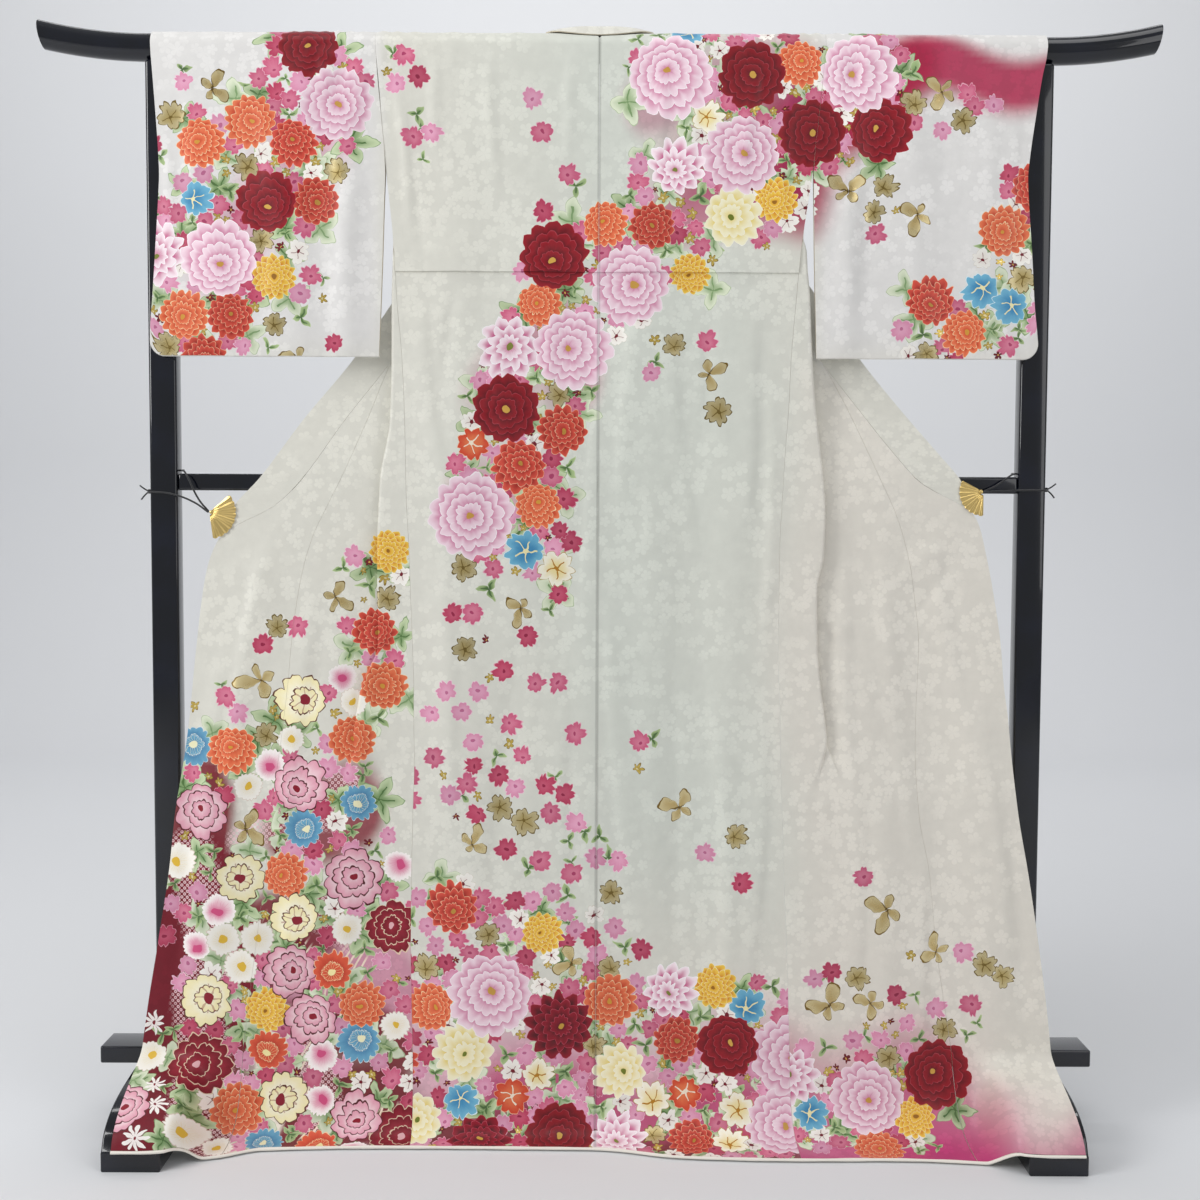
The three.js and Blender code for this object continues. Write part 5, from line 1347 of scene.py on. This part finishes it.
def sweep(name, points, radius, sides):
    """A round rod along a smooth curve through the given points, made a mesh."""
    deselect()
    bpy.ops.curve.primitive_bezier_curve_add(location=(0, 0, 0))
    piece = bpy.context.object
    piece.name = name
    curve = piece.data
    curve.splines.clear()
    spline = curve.splines.new("BEZIER")
    spline.bezier_points.add(len(points) - 1)
    for point, place in zip(spline.bezier_points, points):
        point.co = Vector(place) + Vector((0, SETBACK, 0))
        point.handle_left_type = point.handle_right_type = "AUTO"
    curve.bevel_depth, curve.bevel_resolution, curve.resolution_u = radius, sides // 4 - 1, 12
    curve.use_fill_caps = True
    return piece


def as_mesh(piece):
    """Turns a curve into a mesh."""
    only(piece)
    bpy.ops.object.convert(target="MESH")
    return bpy.context.object


def bar(name, radius, material):
    """The top bar: straight under the garment, swept up past the posts, its ends cut on a slant and eased."""
    stations = [BAR_STRAIGHT + k * (BAR_HALF + 6 * MM - BAR_STRAIGHT) / 6 for k in range(7)]
    lift = [BAR_RISE * ((x - BAR_STRAIGHT) / (BAR_HALF - BAR_STRAIGHT)) ** 2 for x in stations]
    right = [(x, 0, BAR_HEIGHT + z) for x, z in zip(stations, lift)]
    inner = [(x, 0, BAR_HEIGHT) for x in (0.1, 0.35, 0.55)]
    half = inner + right
    piece = as_mesh(sweep(name, [(-x, y, z) for x, y, z in reversed(half)] + half, radius, 64))
    for sign in (-1, 1):
        only(piece)
        bpy.ops.object.mode_set(mode="EDIT")
        bpy.ops.mesh.select_all(action="SELECT")
        cut = Vector((sign * 2 * BAR_RADIUS, 0, -BAR_SLANT)).normalized()
        middle = (sign * (BAR_HALF - BAR_SLANT / 2), SETBACK, BAR_HEIGHT + BAR_RISE)
        bpy.ops.mesh.bisect(plane_co=middle, plane_no=cut, use_fill=True, clear_outer=True)
        bpy.ops.object.mode_set(mode="OBJECT")
    soft = piece.modifiers.new("eased ends", "BEVEL")
    soft.width, soft.segments, soft.limit_method, soft.angle_limit = 2 * MM, 3, "ANGLE", math.radians(60)
    apply_modifiers(piece)
    return dressed(piece, 40, material)


def foot(name, across, material):
    """A foot: a low arched block, extruded from its side outline with eased edges."""
    deselect()
    bpy.ops.curve.primitive_bezier_circle_add(location=(0, 0, 0))
    piece = bpy.context.object
    piece.name = name
    curve = piece.data
    curve.splines.clear()
    half = [(reach * MM, height * MM) for reach, height in FOOT_OUTLINE]
    arch = through([r for r, _ in half[2:]][::-1], [h for _, h in half[2:]][::-1])
    spans = np.linspace(half[2][0], 0, 30)
    outline = [(-r, h) for r, h in half[:2]] + [(-r, float(arch(r))) for r in spans]
    outline += [(-y, z) for y, z in reversed(outline[:-1])]
    spline = curve.splines.new("POLY")
    spline.points.add(len(outline) - 1)
    for point, (y, z) in zip(spline.points, outline):
        point.co = (y, z, 0, 1)
    spline.use_cyclic_u = True
    curve.dimensions, curve.fill_mode = "2D", "BOTH"
    curve.extrude, curve.bevel_depth, curve.bevel_resolution = FOOT_WIDTH / 2 - FOOT_CORNER, FOOT_CORNER, 3
    curve.offset = -FOOT_CORNER
    piece = as_mesh(piece)
    place = Matrix.Translation((across, SETBACK, 0))
    piece.matrix_world = place @ Matrix(((0, 0, 1, 0), (1, 0, 0, 0), (0, 1, 0, 0), (0, 0, 0, 1)))
    settle(piece)
    face_out(piece, merge=0.02 * MM)
    return dressed(piece, 35, material)


# -------------------- hem roll, clips and ties
HEM_ROLL_SIDES = 12
# Fan clips: width across and height of the rivet, the fan's first and last spoke in degrees, its reach, and
# how far up towards the rail the tie is knotted.
CLIPS = {"left": (575, 923, -82, 41, 40, 0.66), "right": (571, 958, -90, 28, 36, 0.3)}
CLIP_FOLDS = 9
TIE_RADIUS = 1.4 * MM
TIE_CLEAR = 3 * GAP


def hem_roll(name, radius, material):
    """The lining rolled out past the silk as a soft narrow cord, from one free front edge to the other."""
    reach = [SIGN[side] * section(side, OUTER, 0.0) for side in ("left", "right")]
    across = np.linspace(reach[0], reach[1], 260)
    edge = hang(across, np.zeros_like(across), np.full_like(across, HANG_BACK(0.0)))
    inside = hang(across, np.full_like(across, 5 * MM), np.full_like(across, HANG_BACK(0.0)))
    way = (edge - inside) / np.linalg.norm(edge - inside, axis=1)[:, None]
    middle = edge + way * (radius + GAP)
    angles = np.linspace(0, 2 * np.pi, HEM_ROLL_SIDES, endpoint=False)
    rings = np.repeat(middle[:, None], HEM_ROLL_SIDES, axis=1)
    thick = radius * (1 + 0.08 * np.sin(across * 90) + 0.06 * np.sin(across * 37))[:, None]
    rings[..., 1] += thick * np.cos(angles) + SETBACK
    rings[..., 2] += thick * np.sin(angles)
    index = np.arange(rings.shape[0] * HEM_ROLL_SIDES).reshape(-1, HEM_ROLL_SIDES)
    wrapped = np.concatenate([index, index[:, :1]], axis=1)
    quads = np.stack([wrapped[:-1, :-1], wrapped[:-1, 1:], wrapped[1:, 1:], wrapped[1:, :-1]], axis=-1)
    faces = [*quads.reshape(-1, 4).tolist(), index[0][::-1].tolist(), index[-1].tolist()]
    mesh = bpy.data.meshes.new(name)
    mesh.from_pydata(rings.reshape(-1, 3).tolist(), [], faces)
    piece = bpy.data.objects.new(name, mesh)
    bpy.context.scene.collection.objects.link(piece)
    face_out(piece)
    return dressed(piece, 60, material)


def rear_depth(side, across, height):
    """The depth of the cloth of the drawn-out front at a place."""
    return float(hang(SIGN[side] * across, height, HANG_REAR(height))[..., 1])


def fan_clip(name, side, material):
    """A ribbed fan before the cloth, bent round at its rivet into a flat jaw behind it."""
    across, height, first, last, reach, _ = CLIPS[side]
    across, height, reach = across * MM, height * MM, reach * MM
    seat = CLOTH_CAD / 2 + GAP + 0.5 * MM
    profile = [
        (1.0, -seat - 0.8 * MM, 0.8), (0.97, -seat - 1.0 * MM, 0.8), (0.8, -seat - 0.9 * MM, 0.75),
        (0.6, -seat - 0.8 * MM, 0.6), (0.4, -seat - 0.8 * MM, 0.45), (7 * MM / reach, -seat - 0.8 * MM, 0.2),
        (5.2 * MM / reach, -seat * 0.6, 0.05), (4.6 * MM / reach, 0, 0), (5.2 * MM / reach, seat * 0.7, 0),
        (7 * MM / reach, seat + 0.4 * MM, 0), (0.5, seat + 0.4 * MM, 0), (0.8, seat + 0.4 * MM, 0),
    ]
    steps = CLIP_FOLDS * 8
    deselect()
    bpy.ops.mesh.primitive_grid_add(x_subdivisions=steps, y_subdivisions=len(profile) - 1, size=1)
    piece = bpy.context.object
    piece.name = name
    rows = sorted({round(v.co.y, 5) for v in piece.data.vertices})
    columns = sorted({round(v.co.x, 5) for v in piece.data.vertices})
    for vertex in piece.data.vertices:
        share, depth, rib = profile[rows.index(round(vertex.co.y, 5))]
        k = columns.index(round(vertex.co.x, 5)) / steps
        angle = math.radians(mix(first, last, k))
        scallop = 1 + 0.05 * abs(math.sin(math.pi * CLIP_FOLDS * k)) * (share > 0.9)
        x = across - share * reach * math.cos(angle) * (scallop - 0.05 * (share > 0.9))
        z = height + share * reach * math.sin(angle) * (scallop - 0.05 * (share > 0.9))
        fold = rib * MM * math.cos(2 * math.pi * CLIP_FOLDS * k)
        vertex.co = (SIGN[side] * x, rear_depth(side, x, z) + depth + fold + SETBACK, z)
    sheet = piece.modifiers.new("metal", "SOLIDIFY")
    sheet.thickness, sheet.offset = 0.9 * MM, 0
    soft = piece.modifiers.new("eased edges", "BEVEL")
    soft.width, soft.segments, soft.limit_method, soft.angle_limit = 0.2 * MM, 2, "ANGLE", math.radians(60)
    apply_modifiers(piece)
    face_out(piece)
    return dressed(piece, 40, material)


def rivet(name, side, material):
    """The domed rivet that the fan's blades turn on."""
    across, height = CLIPS[side][0] * MM, CLIPS[side][1] * MM
    middle = (SIGN[side] * (across - 3.2 * MM), rear_depth(side, across, height) - 2.2 * MM + SETBACK, height)
    deselect()
    bpy.ops.mesh.primitive_uv_sphere_add(
        segments=24, ring_count=12, radius=3.0 * MM, location=middle, scale=(1, 0.5, 1)
    )
    piece = bpy.context.object
    piece.name = name
    settle(piece)
    bpy.ops.object.shade_smooth()
    piece.data.materials.append(material)
    return piece


def tie_route(side):
    """The points that a tie follows: from the rivet round the post, over the rail and back."""
    across, height, _, _, _, share = CLIPS[side]
    across, height = across * MM, height * MM
    depth = rear_depth(side, across, height)
    tied = mix(height, RAIL_HEIGHT, share)
    off = TIE_RADIUS + TIE_CLEAR
    face, outer, inner = POST_DEPTH / 2 + off, POST_OUTER + off, POST_OUTER - POST_WIDTH - off
    top = RAIL_HEIGHT + RAIL_SIDE / 2 + off
    points = (
        (across + 1.6 * MM, depth - 1.7 * MM, height),
        (across + 24 * MM, -face - 3 * MM, mix(height, tied, 0.5)),
        (inner + 9 * MM, -face - 0.6 * MM, mix(height, tied, 0.9)), (outer - 9 * MM, -face, tied),
        (outer - 1.6 * MM, -face + 2.6 * MM, tied), (outer, -face + 9 * MM, tied),
        (outer, face - 9 * MM, tied + 1 * MM),
        (outer - 1.6 * MM, face - 2.6 * MM, tied + 2 * MM), (outer - 9 * MM, face + 0.2 * MM, tied + 5 * MM),
        (inner + 9 * MM, face + 0.4 * MM, top + 1 * MM), (inner + 1.2 * MM, face - 2 * MM, top + 3 * MM),
        (inner - 0.4 * MM, face - 9 * MM, top + 3 * MM), (inner - 3 * MM, -6 * MM, top + 2 * MM),
        (inner - 10 * MM, -face - 1 * MM, top), (across + 16 * MM, -face - 3 * MM, mix(top, height, 0.7)),
        (across + 1.8 * MM, depth + 1.9 * MM, height + 1 * MM),
    )
    return [(SIGN[side] * x, y, z) for x, y, z in points], (outer + 3.6 * MM, 1 * MM, tied + 1 * MM)


def tie(name, side, material):
    """A twisted cord tied round the post."""
    route, _ = tie_route(side)
    piece = sweep(name, route, TIE_RADIUS, 16)
    piece.data.resolution_u = 8
    piece.data.materials.append(material)
    return piece


def knot(name, side, material):
    """The knot on the post's outer face: two crossed turns of the cord with two short tails."""
    _, (x, y, z) = tie_route(side)
    parts = []
    for turn, (low, high) in enumerate(((-0.9, 0.9), (0.9, -0.9))):
        loop = []
        for k in range(13):
            angle = 2 * math.pi * k / 12
            loop.append((
                SIGN[side] * (x - 1.2 * MM + 1.5 * MM * math.cos(angle)),
                y + 3.1 * MM * math.sin(angle),
                z + mix(low, high, 0.5 + 0.5 * math.sin(angle)) * 2.2 * MM,
            ))
        parts.append(as_mesh(sweep(f"{name}_turn_{turn}", loop, TIE_RADIUS * 1.05, 16)))
    for turn, (forward, up) in enumerate(((-4, 9), (3, -12))):
        tail = [
            (SIGN[side] * x, y, z), (SIGN[side] * (x + 7 * MM), y + forward / 2 * MM, z + up / 2 * MM),
            (SIGN[side] * (x + 12.4 * MM), y + forward * MM, z + up * MM),
        ]
        parts.append(as_mesh(sweep(f"{name}_tail_{turn}", tail, TIE_RADIUS * 0.8, 16)))
    deselect()
    for part in parts:
        part.select_set(True)
    bpy.context.view_layer.objects.active = parts[0]
    bpy.ops.object.join()
    piece = bpy.context.object
    piece.name = name
    bpy.ops.object.shade_smooth()
    piece.data.materials.append(material)
    return piece


# -------------------- studio
SWEEP_REACH, SWEEP_WIDER, SWEEP_TALL, SWEEP_COVE = 4.5, 2.2, 5.0, 1.2
# Lights: name, place, what it looks at, width and height.
LIGHTS = (
    ("key", (-3.0, -1.7, 2.3), (0, 0, 0.9), 1.2, 2.0), ("fill", (2.4, -2.4, 1.7), (0, 0, 0.8), 1.4, 2.2),
    ("back", (0, 1.9, 4.2), (0, 4.5, 1.2), 6.0, 0.8), ("top", (0.2, -0.9, 3.4), (0, 0, 0.6), 2.6, 1.2),
)


def studio_sweep(material):
    """A floor that turns up into a wall through a soft cove."""
    deselect()
    bpy.ops.mesh.primitive_plane_add(size=2 * SWEEP_REACH, location=(0, 0, 0))
    backdrop = bpy.context.object
    backdrop.name = "backdrop"
    backdrop.scale = (SWEEP_WIDER, 1, 1)
    settle(backdrop)
    bpy.ops.object.mode_set(mode="EDIT")
    bpy.ops.mesh.select_all(action="DESELECT")
    bpy.ops.mesh.select_mode(type="EDGE")
    bpy.ops.object.mode_set(mode="OBJECT")
    for edge in backdrop.data.edges:
        edge.select = all(backdrop.data.vertices[v].co.y > 0 for v in edge.vertices)
    bpy.ops.object.mode_set(mode="EDIT")
    bpy.ops.mesh.extrude_region_move(TRANSFORM_OT_translate={"value": (0, 0, SWEEP_TALL)})
    bpy.ops.object.mode_set(mode="OBJECT")
    curve = backdrop.modifiers.new("cove", "BEVEL")
    curve.width, curve.segments, curve.limit_method = SWEEP_COVE, 24, "ANGLE"
    apply_modifiers(backdrop)
    bpy.ops.object.shade_smooth()
    backdrop.data.materials.append(material)
    return backdrop


def studio_light(name, place, target, width, tall, power):
    """A soft rectangular light aimed at a point."""
    bpy.ops.object.light_add(type="AREA", location=place)
    light = bpy.context.object
    light.name = f"{name} light"
    light.data.shape, light.data.energy = "RECTANGLE", power
    light.data.size, light.data.size_y = width, tall
    light.rotation_euler = (Vector(target) - Vector(place)).to_track_quat("-Z", "Y").to_euler()


# -------------------- settings
def size(name, description, default):
    return FloatProperty(
        name=name, description=description, default=default, unit="LENGTH", subtype="DISTANCE", precision=4
    )


def colour(name, description, code):
    return FloatVectorProperty(
        name=name, description=description, default=linear(code), size=3, subtype="COLOR", min=0, max=1
    )


def number(name, description, default, **more):
    return FloatProperty(name=name, description=description, default=default, min=0.0, **more)


class GarmentSettings(bpy.types.PropertyGroup):
    """Sizes and colours of the kimono."""

    cloth: size("Cloth", "Thickness of the silk and its lining together", 1.6 * MM)
    collar: size("Collar", "Thickness of the folded collar", 1.9 * MM)
    roll: size("Hem roll", "Radius of the lining's roll along the hem", 2.2 * MM)
    step: size("Row step", "Distance between the rows of points down the cloth", 10 * MM)
    lining: colour("Lining", "Colour of the lining", "#ddd3bd")
    hem: colour("Hem roll colour", "Colour of the roll along the hem", "#f4efe4")


class StandSettings(bpy.types.PropertyGroup):
    """Finish of the stand."""

    lacquer: colour("Lacquer", "Colour of the lacquer", "#090c14")
    gloss: number("Roughness", "Roughness beneath the clear coat", 0.14, max=1.0)


class FasteningSettings(bpy.types.PropertyGroup):
    """Finish of the clips and ties."""

    brass: colour("Brass", "Colour of the fan clips", "#c8a050")
    cord: colour("Cord", "Colour of the ties", "#151517")


class StudioSettings(bpy.types.PropertyGroup):
    """Camera, light and sweep."""

    distance: size("Camera distance", "How far the camera stands before the bar", 2.196)
    height: size("Camera height", "Height of the camera over the floor", 0.917)
    aside: size("Camera aside", "How far right of the middle the camera stands", 0.004)
    lens: number("Lens", "Focal length", 44.0, unit="CAMERA")
    pitch: number("Pitch", "How far the camera looks down", math.radians(3.2), subtype="ANGLE")
    roll: number("Roll", "How far the camera is turned about its view", math.radians(0.25), subtype="ANGLE")
    backdrop: colour("Backdrop", "Colour of the sweep", "#e4e5e7")
    key: number("Key light", "Power of the main light", 64.0, unit="POWER")
    fill: number("Fill light", "Power of the opposite light", 18.0, unit="POWER")
    top: number("Top light", "Power of the overhead light", 20.0, unit="POWER")
    back: number("Backdrop light", "Power of the light on the sweep", 76.0, unit="POWER")
    air: number("Ambient", "Strength of the light from all round", 0.38)


def settings():
    scene = bpy.context.scene
    return scene.kimono_garment, scene.kimono_stand, scene.kimono_fastening


def shared(name, make, *values):
    """A material by its name, made the first time it is asked for."""
    return bpy.data.materials.get(name) or make(*values)


def cloth_finishes():
    """Silk with none, one, two and more motifs over each other, and the lining."""
    names = [f"silk with {k} motifs" for k in range(STAMPS + 1)]
    silks = [shared(name, silk_material, name, k) for k, name in enumerate(names)]
    inside = tuple(settings()[0].lining)
    return (*silks, shared("plain lining", lining_material, "plain lining", inside))


def silk_piece(node, grid, outward, thickness, closed=False):
    """A lined and printed piece of the garment, tied to its node."""
    piece = cloth_piece(f"{node}_silk", grid, outward, closed)
    return belongs(lined(piece, thickness, cloth_finishes()), [node])


def lacquer():
    stand = settings()[1]
    return shared("black lacquer", lacquer_material, tuple(stand.lacquer), stand.gloss)


def brass():
    return shared("brass", brass_material, tuple(settings()[2].brass))


def cord_finish():
    return shared("twisted cord", cord_material, tuple(settings()[2].cord))


# -------------------- operators
class KIMONO_OT_stand(bpy.types.Operator):
    """Build the bar, posts, rail, board and feet"""

    bl_idname = "kimono.stand"
    bl_label = "Stand"

    def execute(self, context):
        black = lacquer()
        pieces = {"top_bar": bar("bar_lacquered", BAR_RADIUS, black)}
        low, high = BOARD_LOW + BOARD_TALL + GAP, BAR_HEIGHT - BAR_RADIUS - GAP
        aside = POST_OUTER - POST_WIDTH / 2
        post_size = (POST_WIDTH, POST_DEPTH, high - low)
        post = timber("post_left_lacquered", (-aside, 0, (low + high) / 2), post_size, POST_CORNER, black)
        left_foot = foot("foot_left_lacquered", -FOOT_MIDDLE, black)
        pieces["post_left"], pieces["foot_left"] = post, left_foot
        pieces["post_right"] = copied(post, "post_right_lacquered", 2 * aside)
        pieces["foot_right"] = copied(left_foot, "foot_right_lacquered", 2 * FOOT_MIDDLE)
        rail_size = (2 * (POST_OUTER - POST_WIDTH - GAP), RAIL_SIDE, RAIL_SIDE)
        pieces["cross_rail"] = timber("rail_lacquered", (0, 0, RAIL_HEIGHT), rail_size, RAIL_CORNER, black)
        board_size = (2 * BOARD_HALF, BOARD_DEPTH, BOARD_TALL)
        board_middle = (0, 0, BOARD_LOW + BOARD_TALL / 2)
        pieces["base_board"] = timber("board_lacquered", board_middle, board_size, BOARD_CORNER, black)
        for node, piece in pieces.items():
            belongs(piece, [node])
        return {"FINISHED"}


class KIMONO_OT_hem(bpy.types.Operator):
    """Build the roll of lining along the hem"""

    bl_idname = "kimono.hem"
    bl_label = "Hem roll"

    def execute(self, context):
        garment = settings()[0]
        white = lining_material("hem roll", tuple(garment.hem))
        roll = belongs(hem_roll("hem_roll_lining", garment.roll, white), ["hem_roll"])
        return {"FINISHED"}


class KIMONO_OT_body(bpy.types.Operator):
    """Build both halves of the body, from the back hem over the shoulder to the front hem"""

    bl_idname = "kimono.body"
    bl_label = "Body panels"

    def execute(self, context):
        garment = settings()[0]
        for side, sign in SIGN.items():
            piece = silk_piece(f"body_{side}", body_grid(side, garment.step), sign, garment.cloth)
        return {"FINISHED"}


class KIMONO_OT_overlaps(bpy.types.Operator):
    """Build the overlap panels that widen the fronts"""

    bl_idname = "kimono.overlaps"
    bl_label = "Overlap panels"

    def execute(self, context):
        garment = settings()[0]
        for side, sign in SIGN.items():
            piece = silk_piece(f"overlap_{side}", overlap_grid(side, garment.step), sign, garment.cloth)
        return {"FINISHED"}


class KIMONO_OT_sleeves(bpy.types.Operator):
    """Build the sleeves, each one length folded over the bar and sewn along its foot"""

    bl_idname = "kimono.sleeves"
    bl_label = "Sleeves"

    def execute(self, context):
        garment = settings()[0]
        for side, sign in SIGN.items():
            piece = silk_piece(f"sleeve_{side}", sleeve_grid(side, 9 * MM), sign, garment.cloth, closed=True)
        return {"FINISHED"}


class KIMONO_OT_collar(bpy.types.Operator):
    """Build the collar band round the neck and down both fronts"""

    bl_idname = "kimono.collar"
    bl_label = "Collar"

    def execute(self, context):
        garment = settings()[0]
        piece = silk_piece("collar", collar_grid(10 * MM), SIGN["left"], garment.collar)
        return {"FINISHED"}


class KIMONO_OT_clips(bpy.types.Operator):
    """Build the two fan clips with their rivets"""

    bl_idname = "kimono.clips"
    bl_label = "Fan clips"

    def execute(self, context):
        for side in SIGN:
            belongs(fan_clip(f"clip_{side}_brass", side, brass()), [f"clip_{side}"])
            belongs(rivet(f"rivet_{side}", side, brass()), [f"clip_{side}"])
        return {"FINISHED"}


class KIMONO_OT_ties(bpy.types.Operator):
    """Build the cords that hold the clips to the posts, each with its knot"""

    bl_idname = "kimono.ties"
    bl_label = "Ties"

    def execute(self, context):
        for side in SIGN:
            belongs(tie(f"tie_{side}_cord", side, cord_finish()), [f"tie_{side}"])
            belongs(knot(f"knot_{side}", side, cord_finish()), [f"tie_{side}"])
        return {"FINISHED"}


class KIMONO_OT_studio(bpy.types.Operator):
    """Set the sweep, the lights and the camera"""

    bl_idname = "kimono.studio"
    bl_label = "Studio"

    def execute(self, context):
        studio = context.scene.kimono_studio
        backdrop = studio_sweep(paper_material(tuple(studio.backdrop)))
        for name, *placing in LIGHTS:
            studio_light(name, *placing, getattr(studio, name))
        world = context.scene.world or bpy.data.worlds.new("studio air")
        context.scene.world = world
        world.use_nodes = True
        air = world.node_tree.nodes["Background"]
        air.inputs["Color"].default_value = (0.95, 0.97, 1.0, 1)
        air.inputs["Strength"].default_value = studio.air
        place = (studio.aside, -studio.distance, studio.height)
        bpy.ops.object.camera_add(location=place, rotation=(math.pi / 2 - studio.pitch, 0, 0))
        camera = context.object
        rolled = Matrix.Rotation(studio.roll, 3, "Z")
        camera.rotation_euler = (camera.rotation_euler.to_matrix() @ rolled).to_euler()
        camera.data.lens, camera.data.sensor_width = studio.lens, 36.0
        context.scene.camera = camera
        context.scene.view_settings.view_transform = "Standard"
        return {"FINISHED"}


class KIMONO_PT_panel(bpy.types.Panel):
    """The kimono's settings and the pieces it is built from"""

    bl_idname = "KIMONO_PT_panel"
    bl_label = "Kimono"
    bl_space_type = "VIEW_3D"
    bl_region_type = "UI"
    bl_category = "Kimono"

    def draw(self, context):
        for group in SETTINGS:
            column = self.layout.column(align=True)
            column.label(text=group.replace("_", " "))
            held = getattr(context.scene, group)
            for name in held.bl_rna.properties.keys():
                if name not in ("rna_type", "name"):
                    column.prop(held, name)
        for operator in OPERATORS:
            self.layout.operator(operator.bl_idname)


OPERATORS = (
    KIMONO_OT_stand, KIMONO_OT_body, KIMONO_OT_overlaps, KIMONO_OT_sleeves, KIMONO_OT_collar, KIMONO_OT_hem,
    KIMONO_OT_clips, KIMONO_OT_ties, KIMONO_OT_studio,
)
SETTINGS = {
    "kimono_garment": GarmentSettings,
    "kimono_stand": StandSettings,
    "kimono_fastening": FasteningSettings,
    "kimono_studio": StudioSettings,
}
PRINT = lay_out_print()


def register():
    for group in SETTINGS.values():
        bpy.utils.register_class(group)
    for name, group in SETTINGS.items():
        setattr(bpy.types.Scene, name, PointerProperty(type=group))
    for item in (*OPERATORS, KIMONO_PT_panel):
        bpy.utils.register_class(item)


def unregister():
    for item in reversed((*OPERATORS, KIMONO_PT_panel)):
        bpy.utils.unregister_class(item)
    for name, group in SETTINGS.items():
        delattr(bpy.types.Scene, name)
        bpy.utils.unregister_class(group)


def main():
    register()
    bpy.ops.kimono.stand()
    bpy.ops.kimono.body()
    bpy.ops.kimono.overlaps()
    bpy.ops.kimono.sleeves()
    bpy.ops.kimono.collar()
    bpy.ops.kimono.hem()
    bpy.ops.kimono.clips()
    bpy.ops.kimono.ties()
    bpy.ops.kimono.studio()


if __name__ == "__main__":
    main()
